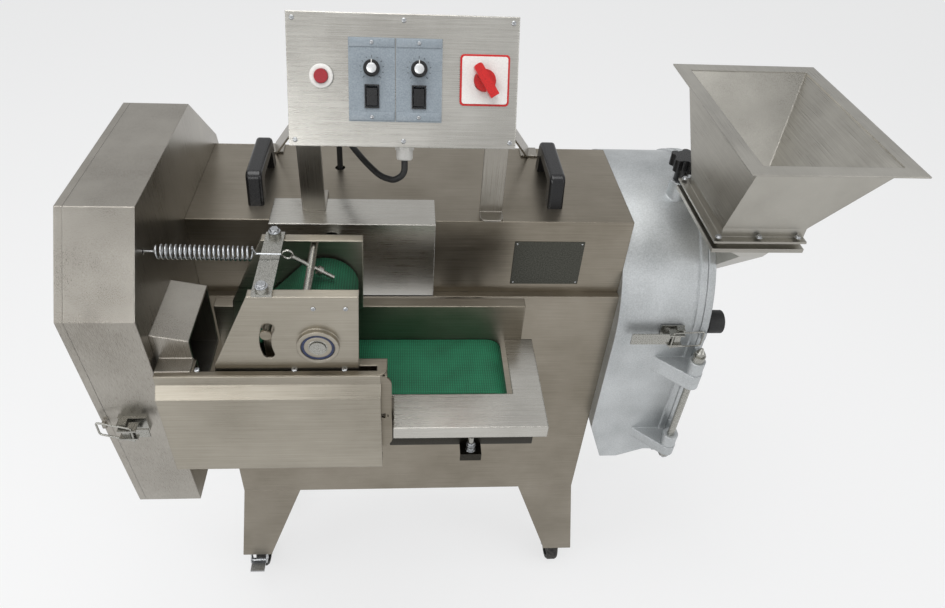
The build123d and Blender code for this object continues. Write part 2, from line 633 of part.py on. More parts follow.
def press_plates():
    slot_r = 7.2
    front = slab_xz(press_outline(), PRESS_FRONT, PLATE)
    arc = CenterArc((DRUM_X, DRUM_Z), STOP_R, STOP_ANGLE - 6, PRESS_SWING + 12)
    slot = SlotArc(arc, slot_r * 2)
    front -= extrude(plane_xz(PRESS_FRONT - 1) * slot, amount=PLATE + 2, dir=(0, 1, 0))
    back = slab_xz(press_outline(), PRESS_BACK - PLATE, PLATE)
    holes = rod_y(DRUM_X, PRESS_FRONT - 9, PRESS_BACK + 1, DRUM_Z, DRUM_SHAFT_R + RUN)
    holes += rod_y(NOSE_X, PRESS_FRONT - 9, PRESS_BACK + 1, NOSE_Z, 4 + RUN)
    front += block(132, 262, PRESS_FRONT, PRESS_FRONT + 14, PRESS_TOP - SHEET, PRESS_TOP)
    back += block(132, 262, PRESS_BACK - 14, PRESS_BACK, PRESS_TOP - SHEET, PRESS_TOP)
    bearing = rod_y(DRUM_X, PRESS_FRONT - 7, PRESS_FRONT, DRUM_Z, 26)
    bearing -= rod_y(DRUM_X, PRESS_FRONT - 8, PRESS_FRONT - 4, DRUM_Z, 21)
    bearing += rod_y(DRUM_X, PRESS_FRONT - 6, PRESS_FRONT, DRUM_Z, 17)
    keep("press_plates", front - holes, back - holes, bearing - holes)


ROD_X = 199.0
ROD_Z = PRESS_TOP - 10.0
EYE = (172.0, -160.0, 1038.0)
EYE_R = 6.0
EYE_WIRE = 1.6
SPRING_HOOK = (0.0, -160.0, 1042.0)


def press_yoke():
    strap = block(138, 162, PRESS_FRONT, PRESS_BACK, PRESS_TOP, PRESS_TOP + 4)
    for y in (PRESS_FRONT + 8, PRESS_BACK - 8):
        strap += Pos(150, y, PRESS_TOP + 7) * Cylinder(8, 6)
    cross = rod_y(ROD_X, PRESS_FRONT + PLATE, PRESS_BACK - PLATE, ROD_Z, 5)
    tip = (ROD_X + 27, EYE[1], ROD_Z - 18)
    bolt = rod((EYE[0] + 5, EYE[1], EYE[2] - 3.3), tip, 3)
    ring = Pos(*EYE) * Rot(90, 0, 0) * Torus(EYE_R, EYE_WIRE)
    nut_start = (ROD_X + 8, EYE[1], ROD_Z - 5.3)
    nut_end = (ROD_X + 13, EYE[1], ROD_Z - 8.7)
    keep("press_yoke", strap, cross + bolt + ring + rod(nut_start, nut_end, 6))


def press_rolls():
    shaft = rod_y(DRUM_X, PRESS_FRONT - 8, GEAR_Y + GEAR_W, DRUM_Z, DRUM_SHAFT_R)
    drum = rod_y(DRUM_X, BELT_FRONT + 1, BELT_BACK - 7, DRUM_Z, DRUM_R)
    gear = gear_wheel(DRUM_X, DRUM_Z, DRUM_TEETH, GEAR_LEAN)
    keep("press_drum", shaft + drum + gear)
    nose = rod_y(NOSE_X, BELT_FRONT + 1, BELT_BACK - 7, NOSE_Z, NOSE_R)
    nose += rod_y(NOSE_X, PRESS_FRONT, PRESS_BACK, NOSE_Z, 4)
    keep("nose_roller", nose)
    ends = [(NOSE_X, NOSE_Z, NOSE_R), (DRUM_X, DRUM_Z, DRUM_R)]
    front = BELT_FRONT + 2
    belt = loop_band(plane_xz(front), (0, 1, 0), ends, GAP, GAP + BELT_T, BELT_BACK - 8 - front)
    keep("upper_belt", belt)


# Tension spring: a close coil between the leaf head and the eye bolt
def tension_spring():
    start = Vector(*SPRING_HOOK)
    line = Vector(*EYE) - start
    frame = Plane(origin=start, z_dir=line)
    coil_start = 16.0
    coil_end = 130.0
    helix = Helix((coil_end - coil_start) / SPRING_TURNS, coil_end - coil_start, SPRING_R)
    wire = sweep(Plane(origin=helix @ 0, z_dir=helix % 0) * Circle(SPRING_WIRE), path=helix, is_frenet=True)
    spring = frame * Pos(0, 0, coil_start) * wire
    hook = -HEAD_WALL - GAP - SPRING_WIRE
    for near, far in ((coil_start, hook), (coil_end, line.length - EYE_R - EYE_WIRE - GAP)):
        lean = 4.0 if far > near else -4.0
        rim = (frame * Pos(SPRING_R, 0, near)).position
        axis = (frame * Pos(0, 0, near + lean)).position
        end = (frame * Pos(0, 0, far)).position
        spring += rod(rim, axis, SPRING_WIRE) + rod(axis, end, SPRING_WIRE)
        spring += Pos(axis) * Sphere(SPRING_WIRE)
    bend = (frame * Pos(0, 0, hook)).position
    spring += rod(bend + Vector(0, 0, SPRING_WIRE), bend - Vector(0, 0, 8), SPRING_WIRE)
    keep("tension_spring", spring)


# Belt drive: a gear pair, a chain and a geared motor in the cabinet
GEAR_Y = 9.0
GEAR_W = 10.0
CHAIN_Y = 24.0
CHAIN_W = 6.0
MOTOR_Y = 44.0
TRANSFER_SHAFT_R = 8.0


def gear_wheel(x, z, teeth, phase):
    pitch_r = GEAR_MODULE * teeth / 2
    root_r = pitch_r - 1.25 * GEAR_MODULE
    tip_r = pitch_r + 0.9 * GEAR_MODULE
    half_root = 0.95 * GEAR_MODULE
    half_tip = 0.3 * GEAR_MODULE
    tooth = Polygon((root_r - 1, -half_root), (tip_r, -half_tip), (tip_r, half_tip), (root_r - 1, half_root),
                    align=None)
    wheel = Circle(root_r)
    for count in range(teeth):
        wheel += Rot(0, 0, phase + count * 360 / teeth) * tooth
    return extrude(plane_xz(GEAR_Y) * Pos(x, z) * wheel, amount=GEAR_W, dir=(0, 1, 0))


def transfer_spot():
    """Axis of the transfer gear, in mesh with the drum's gear."""
    lean = radians(GEAR_LEAN)
    reach = GEAR_MODULE * (DRUM_TEETH + TRANSFER_TEETH) / 2
    return DRUM_X + reach * cos(lean), DRUM_Z + reach * sin(lean)


def transfer_gear():
    """A gear and a chain sprocket on one short shaft."""
    x, z = transfer_spot()
    toward = GEAR_LEAN + 180
    wheel = gear_wheel(x, z, TRANSFER_TEETH, toward + 180 / TRANSFER_TEETH)
    wheel += rod_y(x, GEAR_Y - 2, MOTOR_Y + 8, z, TRANSFER_SHAFT_R)
    wheel += rod_y(x, CHAIN_Y, CHAIN_Y + CHAIN_W, z, SPROCKET_R)
    keep("transfer_gear", wheel)


def drive_belts():
    x, z = transfer_spot()
    chain = loop_band(plane_xz(CHAIN_Y), (0, 1, 0), [(x, z, SPROCKET_R), (TAIL_ROLL_X, ROLL_Z, TAIL_SPROCKET_R)],
                      GAP, 4, CHAIN_W)
    cut = loop_band(plane_yz(CUT_PULLEY_X + 4), (1, 0, 0),
                    [(CASE_Y, CASE_Z, CUT_PULLEY_R), (CUT_MOTOR_Y, CUT_MOTOR_Z, CUT_PULLEY_R * 0.7)], GAP, 4, 12)
    leaf = loop_band(plane_yz(LEAF_PULLEY_X + 4), (1, 0, 0),
                     [(ROTOR_Y, ROTOR_Z, LEAF_PULLEY_R), (LEAF_MOTOR_Y, LEAF_MOTOR_Z, LEAF_PULLEY_R)], GAP, 4, 12)
    keep("drive_belts", cut, leaf, chain)


def conveyor_motor():
    x, z = transfer_spot()
    gearbox = block(x - 45, x + 45, MOTOR_Y, MOTOR_Y + 52, z - 42, CAB_TOP - SHEET)
    gearbox -= rod_y(x, MOTOR_Y - 1, MOTOR_Y + 10, z, TRANSFER_SHAFT_R + RUN)
    can = rod_y(x, MOTOR_Y + 52, CAB_D - 14, z, 40)
    keep("conveyor_motor", gearbox + can)


# Foot-mounted motors: finned body, end bells, terminal box and shaft
def motor(x0, x1, y, z, radius, foot_z, shaft_end, pulley_x, pulley_r):
    body = rod_x(x0, x1, y, z, radius - 6)
    fins = 20
    for count in range(fins):
        fin = Rot(0, 0, count * 360 / fins) * Pos(radius - 7, 0, 0) * Box(14, 3, x1 - x0 - 60)
        body += Pos((x0 + x1) / 2, y, z) * Rot(0, 90, 0) * fin
    body += rod_x(x0, x0 + 28, y, z, radius)
    body += rod_x(x1 - 28, x1, y, z, radius)
    for sign in (-1, 1):
        foot_y = y + sign * radius * 0.6
        body += block(x0 + 40, x1 - 40, foot_y - 14, foot_y + 14, foot_z, z - radius * 0.5)
    low = min(shaft_end, x0)
    high = max(shaft_end, x1)
    body += rod_x(low, high, y, z, MOTOR_SHAFT_R)
    body += grooved_pulley(pulley_x, y, z, pulley_r)
    return body


def drive_motors():
    right = CUT_PULLEY_X - 18
    cut = motor(right - 212, right, CUT_MOTOR_Y, CUT_MOTOR_Z, CUT_MOTOR_R, SHELF_Z + PLATE,
                CUT_PULLEY_X + PULLEY_W, CUT_PULLEY_X, CUT_PULLEY_R * 0.7)
    leaf = motor(204, 400, LEAF_MOTOR_Y, LEAF_MOTOR_Z, LEAF_MOTOR_R, CAB_BOTTOM + SHEET, LEAF_PULLEY_X,
                 LEAF_PULLEY_X, LEAF_PULLEY_R)
    return cut, leaf


def keep_motors():
    cut, leaf = drive_motors()
    keep("drive_motors", cut, leaf)


# Drive cover: an L-shaped folded cover over the gears
def drive_cover():
    cover = block(COVER_LEFT, COVER_RIGHT, -PANEL_PROUD, 0, COVER_BOTTOM, CAB_TOP + SHEET)
    cover -= block(COVER_LEFT + SHEET, COVER_RIGHT - SHEET, SHEET - PANEL_PROUD, 1,
                   COVER_BOTTOM + SHEET, CAB_TOP)
    cover += block(COVER_LEFT, COVER_RIGHT, -PANEL_PROUD, COVER_BACK, CAB_TOP, CAB_TOP + SHEET)
    cover -= rod_y(DRUM_X, -PANEL_PROUD * 2, SHEET, DRUM_Z, DRUM_SHAFT_R + 4)
    keep("drive_cover", cover)


# Root slicing head
def case_face(inset):
    """Arch outline of the casing in Y and Z, with straight sides below."""
    radius = CASE_R - inset
    low = CHUTE_BOTTOM - 60
    arch = Pos(CASE_Y, CASE_Z) * Circle(radius)
    return arch + Pos(CASE_Y, (CASE_Z + low) / 2) * Rectangle(2 * radius, CASE_Z - low)


def chute_cut():
    """What the slanting lower edge of the chute cuts away."""
    low = CHUTE_BOTTOM - 100
    right = CAB_L + CASE_L + 30
    edge = [(CAB_L - 1, CHUTE_CORNER), (SEAM_X - 108, CHUTE_BOTTOM), (SEAM_X - 76, CHUTE_BOTTOM),
            (SEAM_X - 28, CHUTE_BOTTOM + 21), (right, CHUTE_BOTTOM + 18), (right, low), (CAB_L - 1, low)]
    return slab_xz(edge, CASE_Y - CASE_R - 20, 2 * CASE_R + 40)


def casing_lug(z0, z1, face_y, x_wall):
    """A curved lug that reaches from a wall to the hinge pin."""
    eye_r = 14.0
    base = Polygon((x_wall, face_y + 1), (x_wall, face_y), (HINGE_X - eye_r * 0.7, HINGE_Y - eye_r * 0.7),
                   (HINGE_X + eye_r * 0.7, HINGE_Y - eye_r * 0.7), (HINGE_X + 3, face_y + 1), align=None)
    plate = base + Pos(HINGE_X, HINGE_Y) * Circle(eye_r)
    lug = slab_xy(plate, z0, z1 - z0)
    return lug - rod_z(HINGE_X, HINGE_Y, z0 - 1, z1 + 1, HINGE_PIN_R + RUN)


def slicing_casing():
    front_y = CASE_Y - CASE_R
    body = extrude(plane_yz(CAB_L) * case_face(0), amount=CASE_L - GAP)
    body -= extrude(plane_yz(CAB_L + CASE_WALL) * case_face(CASE_WALL), amount=CASE_L)
    body -= chute_cut()
    body += extrude(plane_yz(SEAM_X - 12) * (case_face(-3) - case_face(1)), amount=12 - GAP) - chute_cut()
    body -= rod_x(CAB_L - 1, CAB_L + CASE_WALL + 1, CASE_Y, CASE_Z, CUT_SHAFT_R + 4)
    lug_left = SEAM_X - 63
    body += casing_lug(HINGE_LOW, HINGE_LOW + 20, front_y, lug_left)
    body += casing_lug(HINGE_HIGH, HINGE_HIGH + LUG_H, front_y, lug_left)
    boss_top = KNOB_Z - KNOB_DROP
    body += rod_z(KNOB_X, KNOB_Y, KNOB_SEAT_Z - 12, boss_top, 16)
    body -= rod_z(KNOB_X, KNOB_Y, KNOB_SEAT_Z - 4, boss_top + 1, KNOB_STUD_R + RUN)
    keep("slicing_casing", body)


OPENING = (OPENING_Y, OPENING_Y + OPENING_SIZE, OPENING_Z, OPENING_Z + OPENING_SIZE)


def casing_cover():
    front_y = CASE_Y - CASE_R
    x0 = SEAM_X
    plate = extrude(plane_yz(x0) * case_face(-CASE_RIM), amount=8) - chute_cut()
    rim = extrude(plane_yz(x0) * (case_face(-CASE_RIM) - case_face(4)), amount=CASE_COVER_T) - chute_cut()
    plate += rim
    y0, y1, z0, z1 = OPENING
    plate -= block(x0 - 1, x0 + 20, y0, y1, z0, z1)
    hub = rod_x(x0 + 8, x0 + 20, CASE_Y, CASE_Z, 34)
    plate += hub
    for z0, z1 in ((HINGE_LOW + 20 + GAP, HINGE_LOW + 46), (HINGE_HIGH + LUG_H + GAP, HINGE_HIGH + LUG_H + 26)):
        web = Polygon((x0, front_y), (x0 + 8, front_y + 4), (HINGE_X + 13, HINGE_Y), (x0, HINGE_Y), align=None)
        arm = slab_xy(web, z0, z1 - z0) + rod_z(HINGE_X, HINGE_Y, z0, z1, 13)
        plate += arm - rod_z(HINGE_X, HINGE_Y, z0 - 1, z1 + 1, HINGE_PIN_R + RUN)
    stub = rod_x(x0 + 8, x0 + 30, front_y + 26, LATCH_Z, 17)
    plate += stub
    hook = block(x0 + 2, x0 + 8, front_y - 12, front_y, LATCH_Z - 7, LATCH_Z + 7)
    return plate + hook


MOUTH_RIGHT = SEAM_X + 34.0


def level(x0, x1, y0, y1, z, grow):
    """A level rectangle, grown on every side, as one section of a funnel."""
    return Pos((x0 + x1) / 2, (y0 + y1) / 2, z) * Rectangle(x1 - x0 + 2 * grow, y1 - y0 + 2 * grow)


def lower_chute():
    """The feed chute on the cover: a slanting passage from the flange to the opening."""
    y0, y1, z0, z1 = OPENING
    x_face = SEAM_X + 8

    def walls(grow):
        top = level(NECK_LEFT + 4, MOUTH_RIGHT, NECK_FRONT, NECK_BACK - 4, NECK_FLANGE_Z - SHEET, grow)
        knee = level(x_face + 6, MOUTH_RIGHT + 10, y0 - 110, y1 - 48, KNEE_Z, grow)
        foot = level(x_face + 6, x_face + 16, y0, y1, z0, grow)
        return loft([knee, top]) + loft([foot, knee])

    shell = walls(2.5) - walls(0)
    shell -= block(x_face - 5, x_face + 8, y0 + 1, y1 - 1, z0 + 2, z1)
    skirt = block(x_face, x_face + 5, y0 - 2, y1 + 2, z0 - 2, z1 + 2)
    skirt -= block(x_face - 1, x_face + 6, y0 + 1, y1 - 1, z0 + 1, z1)
    return shell + skirt


# Hopper: a folded funnel with a flat rim, on a bolted double flange
def flange(low):
    return block(NECK_LEFT - NECK_FLANGE_W, NECK_RIGHT + SHEET, NECK_FRONT - NECK_FLANGE_W,
                 NECK_BACK + NECK_FLANGE_W, low, low + PLATE)


def hopper():
    t = SHEET

    def funnel(grow):
        low = level(NECK_LEFT, NECK_RIGHT, NECK_FRONT, NECK_BACK, NECK_Z, grow)
        top = level(RIM_LEFT + RIM_W, RIM_RIGHT - RIM_W, RIM_FRONT + RIM_W, RIM_BACK - RIM_W, RIM_Z, grow)
        return loft([low, top])

    rim = block(RIM_LEFT, RIM_RIGHT, RIM_FRONT, RIM_BACK, RIM_Z, RIM_Z + t)
    rim -= block(RIM_LEFT + RIM_W, RIM_RIGHT - RIM_W, RIM_FRONT + RIM_W, RIM_BACK - RIM_W,
                 RIM_Z - 1, RIM_Z + t + 1)
    body = funnel(t) - funnel(0)
    neck = block(NECK_LEFT - t, NECK_RIGHT + t, NECK_FRONT - t, NECK_BACK + t, NECK_FLANGE_Z, NECK_Z)
    neck += flange(NECK_FLANGE_Z) + flange(NECK_FLANGE_Z + 12)
    neck -= block(NECK_LEFT, NECK_RIGHT, NECK_FRONT, NECK_BACK, NECK_FLANGE_Z - 1, NECK_Z + 1)
    collar = flange(NECK_FLANGE_Z - PLATE)
    collar -= block(NECK_LEFT + 4, MOUTH_RIGHT, NECK_FRONT, NECK_BACK - 4,
                    NECK_FLANGE_Z - 5, NECK_FLANGE_Z + 1)
    keep("hopper", rim + body + neck)
    cover = casing_cover()
    keep("casing_cover", cover)
    keep("feed_chute", collar + lower_chute() - cover)


def hinge_pin():
    pin = rod_z(HINGE_X, HINGE_Y, HINGE_LOW - 10, HINGE_HIGH + LUG_H + 34, HINGE_PIN_R)
    pin += rod_z(HINGE_X, HINGE_Y, HINGE_LOW - 10, HINGE_LOW - GAP, 9)
    pin += rod_z(HINGE_X, HINGE_Y, HINGE_HIGH + LUG_H + 26 + GAP, HINGE_HIGH + LUG_H + 38, 10)
    keep("hinge_pin", pin)


def star_knob():
    x, y, z = KNOB_X, KNOB_Y, KNOB_Z
    low = z - KNOB_DROP
    arms = Circle(17)
    for count in range(5):
        arms += Rot(0, 0, count * 72) * Pos(17, 0) * Circle(7)
    head = extrude(Plane(origin=(x, y, z)) * arms, amount=20)
    head = head + rod_z(x, y, low + GAP, z + 1, 11)
    stud = rod_z(x, y, low - 14, low + 2, KNOB_STUD_R)
    keep("star_knob", head + stud)


# Draw latches: a base with two ears, a lever on a pin, and a wire bail.
# The casing's latch points right, and the lid's latch points left.
LATCH_WIRE = 1.6
LATCH_PIN_R = 2.5


def latch(pivot, side, tail, seat, low, high, catch):
    """Base, lever and bail of one latch; the bail reaches towards side."""
    x, y = pivot
    pin = (x - side * 14, y - 10)
    rear = x - side * 30
    base = block(min(rear, x + side * 8), max(rear, x + side * 8), y + 7, seat, low - 4, high + 4)
    for z0 in (low - 4, high + 1):
        base += block(x - 6, x + 6, y - 4, seat, z0, z0 + 3)
    base += rod_z(x, y, low - 4, high + 4, LATCH_PIN_R)
    end = x - side * tail
    lever = block(min(end, x), max(end, x), y - 8, y - 6, low + 1, high - 1)
    for z0 in (low, high - 2.5):
        cheek = sorted((x - side * 20, x + side * 4))
        lever += block(*cheek, y - 12, y + 4, z0, z0 + 2.5)
    lever -= rod_z(x, y, low - 5, high + 5, LATCH_PIN_R + RUN)
    lever -= rod_z(*pin, low - 5, high + 5, LATCH_WIRE + RUN)
    lever -= block(min(pin[0] - 4, pin[0] + 4), pin[0] + 4, y - 9, y - 5, low + 3, high - 3)
    corners = [(*pin, low - 3), (*catch, low - 3), (*catch, high + 3), (*pin, high + 3)]
    path = FilletPolyline(*corners, radius=4)
    bail = sweep(Plane(origin=path @ 0, z_dir=path % 0) * Circle(LATCH_WIRE - 0.2), path=path)
    bail += rod_z(*pin, low - 3 - LATCH_WIRE, high + 3 + LATCH_WIRE, LATCH_WIRE)
    return base, lever, bail


LATCH_Z = CASE_Z + 21.0
CASE_LATCH = (SEAM_X - 36.0, CASE_Y - CASE_R - 9)
LID_LATCH = (-60.0, -232.0)


def draw_latches():
    wall_y = CASE_Y - CASE_R
    catch = (SEAM_X + 0.5, wall_y - 15.5)
    base, lever, bail = latch(CASE_LATCH, 1, 81, wall_y, LATCH_Z - 12, LATCH_Z + 12, catch)
    keep("casing_latch_lever", lever)
    keep("casing_latch_bail", bail)
    out = -HEAD_W - LID_W - LID_BAIL_OUT + LATCH_WIRE
    lid_base, lid_lever, lid_bail = latch(LID_LATCH, -1, 36, -216, 788, 806, (out, -231))
    lid_base -= extrude(plane_yz(-HEAD_W) * head_face(0), amount=HEAD_W, dir=(1, 0, 0))
    lid_base -= rod_z(LID_LATCH[0] + 14, LID_LATCH[1] - 10, 780, 814, LATCH_WIRE + GAP)
    keep("lid_latch_lever", lid_lever)
    keep("lid_latch_bail", lid_bail)
    keep("latch_bases", base, lid_base)


# Slicing disc with curved knives, and its shaft
def slicing_rotor():
    disc = rod_x(DISC_X, DISC_X + 6, CASE_Y, CASE_Z, DISC_R)
    for count in range(3):
        turn = Rot(0, 0, count * 120)
        slot = turn * Pos(112, 0, 0) * Box(110, 12, 20)
        disc -= Pos(DISC_X + 3, CASE_Y, CASE_Z) * Rot(0, 90, 0) * slot
        knife = turn * Pos(112, 5, 5) * Rot(16, 0, 0) * Box(104, 22, 1.6)
        disc += Pos(DISC_X + 3, CASE_Y, CASE_Z) * Rot(0, 90, 0) * knife
    disc += rod_x(DISC_X - 26, DISC_X, CASE_Y, CASE_Z, 32)
    disc -= rod_x(DISC_X - 40, DISC_X + 10, CASE_Y, CASE_Z, CUT_SHAFT_R)
    keep("slicing_disc", disc)
    shaft = rod_x(CUT_PULLEY_X - 4, DISC_X + 6, CASE_Y, CASE_Z, CUT_SHAFT_R)
    shaft += grooved_pulley(CUT_PULLEY_X, CASE_Y, CASE_Z, CUT_PULLEY_R)
    shaft += rod_x(DISC_X + 6, DISC_X + 14, CASE_Y, CASE_Z, 17)
    keep("slicing_shaft", shaft)


# Control box: everything is made flat on its panel and tilted into place
BOX_FRAME = Plane(origin=(BOX_X, BOX_Y, BOX_Z), x_dir=(1, 0, 0),
                  z_dir=(0, -cos(radians(BOX_TILT)), sin(radians(BOX_TILT))))


def on_panel(solid):
    return BOX_FRAME * solid


def panel_block(x0, x1, v0, v1, n0, n1):
    return on_panel(block(x0, x1, v0, v1, n0, n1))


def box_outer():
    half_w = BOX_W / 2 - 1.5
    half_h = BOX_H / 2 - 1.5
    return panel_block(-half_w, half_w, -half_h, half_h, -BOX_DEPTH, -SHEET)


MODULE_X = (-BOX_W / 2 + 79, -BOX_W / 2 + 79 + MODULE_W + 1)
MODULE_TOP = SCREW_PITCH_Z / 2 - 22
SWITCH_X = -SCREW_PITCH_X / 2 + 216
SWITCH_TOP = SCREW_PITCH_Z / 2 - 40
BUTTON_UV = (-106.0, 5.0)


def control_box():
    t = 1.5
    half_w = BOX_W / 2 - 1.5
    half_h = BOX_H / 2 - 1.5
    shell = box_outer()
    shell -= panel_block(-half_w + t, half_w - t, -half_h + t, half_h - t, -BOX_DEPTH + t, 1)
    shell -= gland_hole()
    keep("control_box", shell)
    panel = panel_block(-BOX_W / 2, BOX_W / 2, -BOX_H / 2, BOX_H / 2, -SHEET, 0)
    for x in MODULE_X:
        panel -= panel_block(x + 5, x + MODULE_W - 5, MODULE_TOP - MODULE_H + 14, MODULE_TOP - 14,
                             -SHEET - 1, 1)
    panel -= on_panel(Pos(SWITCH_X + SWITCH_SIZE / 2, SWITCH_TOP - SWITCH_SIZE / 2, 0) * Cylinder(16, 10))
    panel -= on_panel(Pos(*BUTTON_UV, 0) * Cylinder(11, 10))
    keep("control_panel", panel)


GLAND_V = -BOX_H / 2 + 1.5
GLAND_N = -44.0
GLAND_X = 1.7
GLAND_R = 8.0


def gland_hole():
    return on_panel(Pos(GLAND_X, GLAND_V, GLAND_N) * Rot(90, 0, 0) * Cylinder(GLAND_R, 12))


def cable_gland():
    nut = extrude(Plane.XY * RegularPolygon(13, 6), amount=7)
    dome = Pos(0, 0, 7) * Cylinder(11.5, 14, align=(Align.CENTER, Align.CENTER, Align.MIN))
    dome = fillet(dome.edges().group_by(Axis.Z)[-1], 4)
    thread = Pos(0, 0, -8) * Cylinder(GLAND_R - 0.1, 8, align=(Align.CENTER, Align.CENTER, Align.MIN))
    gland = nut + dome + thread
    gland -= Cylinder(CABLE_R + RUN, 80)
    box_gland = on_panel(Pos(GLAND_X, GLAND_V, GLAND_N) * Rot(90, 0, 0) * gland)
    inlet = Pos(CAB_L - 90, CAB_D + SHEET, CAB_BOTTOM + 46) * Rot(-90, 0, 0) * gland
    inlet -= block(0, CAB_L, CAB_D - 30, CAB_D + SHEET, 0, CAB_TOP)
    keep("cable_glands", box_gland, inlet)


CABLE_R = 4.5
GROMMET_R = 8.0
CABLE_END = (212.0, 150.0)


def control_cable():
    start = on_panel(Pos(GLAND_X, GLAND_V - 21, GLAND_N)).position
    aim = on_panel(Pos(GLAND_X, GLAND_V - 40, GLAND_N)).position
    points = [
        start,
        aim,
        (aim.X - 14, aim.Y + 2, aim.Z - 12),
        (aim.X - 34, aim.Y + 22, aim.Z - 18),
        (aim.X - 56, aim.Y + 50, aim.Z - 12),
        (aim.X - 76, aim.Y + 80, aim.Z - 4),
        (CABLE_END[0] + 10, CABLE_END[1] - 22, aim.Z - 6),
        (CABLE_END[0] + 1, CABLE_END[1] - 3, aim.Z - 26),
        (CABLE_END[0], CABLE_END[1], CAB_TOP - 4),
    ]
    points = [Vector(*point) for point in points]
    radii = []
    for before, here, after in zip(points, points[1:], points[2:]):
        turn = radians((here - before).get_angle(after - here))
        radii.append(0.45 * min((here - before).length, (after - here).length) / tan(turn / 2))
    print("cable radii", [round(radius, 1) for radius in radii])
    path = FilletPolyline(*points, radius=radii)
    tube = sweep(Plane(origin=path @ 0, z_dir=path % 0) * Circle(CABLE_R), path=path)
    keep("control_cable", tube)


def box_brackets():
    hidden = box_outer()
    legs = []
    for side in (-1, 1):
        x0 = BOX_X + side * 131 - 17
        strip = block(x0, x0 + 34, 22, 25, CAB_TOP, CAB_TOP + 130)
        tab = block(x0, x0 + 34, -1, 25, CAB_TOP, CAB_TOP + PLATE)
        tab = fillet(tab.edges().filter_by(Axis.Z).group_by(Axis.Y)[0], 8)
        if side < 0:
            tab = block(x0, x0 + 34, 22, COVER_BACK + 20, CAB_TOP + SHEET, CAB_TOP + SHEET + PLATE)
            strip = block(x0, x0 + 34, 22, 25, CAB_TOP + SHEET, CAB_TOP + 130)
            tab += block(x0, x0 + 34, COVER_BACK + GAP, COVER_BACK + 20, CAB_TOP, CAB_TOP + SHEET + PLATE)
        legs.append(strip + tab - hidden)
        low = (BOX_X + side * 212, CAB_D - 14, CAB_TOP)
        high = (BOX_X + side * 147, 104, CAB_TOP + 118)
        legs.append(rear_stay(low, high, side) - hidden)
    keep("box_brackets", *legs)


def rear_stay(low, high, side):
    """A flat bar from the cabinet's back edge up to the box's side."""
    line = Vector(*high) - Vector(*low)
    frame = Plane(origin=low, x_dir=Vector(0, 1, 0.6), z_dir=line)
    bar = extrude(frame * Rectangle(24, PLATE), amount=line.length)
    bar -= block(low[0] - 40, low[0] + 40, low[1] - 60, low[1] + 60, CAB_TOP - 60, CAB_TOP)
    foot = block(low[0] - 14, low[0] + 14, low[1] - 14, low[1] + 14, CAB_TOP, CAB_TOP + PLATE)
    return bar + foot


def panel_fittings():
    solids = []
    for x in MODULE_X:
        face = block(x, x + MODULE_W, MODULE_TOP - MODULE_H, MODULE_TOP, 0, 4)
        face += block(x + 6, x + MODULE_W - 6, MODULE_TOP - MODULE_H + 15, MODULE_TOP - 15, -60, 1)
        centre_x = x + MODULE_W / 2
        face -= Pos(centre_x, MODULE_TOP - 38, 4) * Cylinder(3.5, 24)
        face -= block(centre_x - 7.5, centre_x + 7.5, MODULE_TOP - 86, MODULE_TOP - 60, -12, 5)
        solids.append(on_panel(face))
    plate = block(SWITCH_X, SWITCH_X + SWITCH_SIZE, SWITCH_TOP - SWITCH_SIZE, SWITCH_TOP, 0, 3)
    plate = fillet(plate.edges().filter_by(Axis.Z), 3)
    centre = Pos(SWITCH_X + SWITCH_SIZE / 2, SWITCH_TOP - SWITCH_SIZE / 2, 0)
    plate += centre * Pos(0, 0, -25) * Cylinder(15.5, 50)
    plate -= centre * Cylinder(4 + RUN, 40)
    solids.append(on_panel(plate))
    ring = Pos(*BUTTON_UV, 0) * (Pos(0, 0, 2) * Cylinder(15, 4) + Pos(0, 0, -16) * Cylinder(10.8, 32))
    ring -= Pos(*BUTTON_UV, 0) * Cylinder(9, 80)
    ring += Pos(*BUTTON_UV, -30) * Cylinder(10, 4)
    solids.append(on_panel(ring))
    keep("panel_fittings", *solids)


def panel_controls():
    for name, x in zip(("left", "right"), MODULE_X):
        centre_x = x + MODULE_W / 2
        knob = Pos(0, 0, 4 + GAP) * Cylinder(10.5, 13, align=(Align.CENTER, Align.CENTER, Align.MIN))
        knob = chamfer(knob.edges().group_by(Axis.Z)[-1], 1.2)
        knob += Pos(0, 0, 0) * Cylinder(3.5 - RUN, 10)
        knob += Pos(0, 6, 4 + GAP + 12.5) * Box(1.6, 8, 2)
        keep("speed_knob_" + name, on_panel(Pos(centre_x, MODULE_TOP - 38, 0) * knob))
        paddle = Rot(8, 0, 0) * Box(13.6, 22, 9)
        paddle -= Pos(0, 0, -8) * Box(30, 40, 8)
        paddle += Rot(0, 90, 0) * Cylinder(1.5, 14.4)
        keep("rocker_switch_" + name, on_panel(Pos(centre_x, MODULE_TOP - 73, 4) * paddle))
    centre = (SWITCH_X + SWITCH_SIZE / 2, SWITCH_TOP - SWITCH_SIZE / 2)
    lever = Pos(0, 0, 3 + GAP) * Cylinder(14, 7, align=(Align.CENTER, Align.CENTER, Align.MIN))
    lever += Pos(0, 0, 10) * Box(12, 46, 14, align=(Align.CENTER, Align.CENTER, Align.MIN))
    lever = fillet(lever.edges().filter_by(Axis.Z).group_by(Axis.Y)[-1], 4)
    lever += Cylinder(4, 20)
    keep("selector_lever", on_panel(Pos(*centre, 0) * Rot(0, 0, 32) * lever))
    button = Pos(0, 0, 0) * Cylinder(9 - RUN, 14)
    keep("stop_button", on_panel(Pos(*BUTTON_UV, 2) * button))


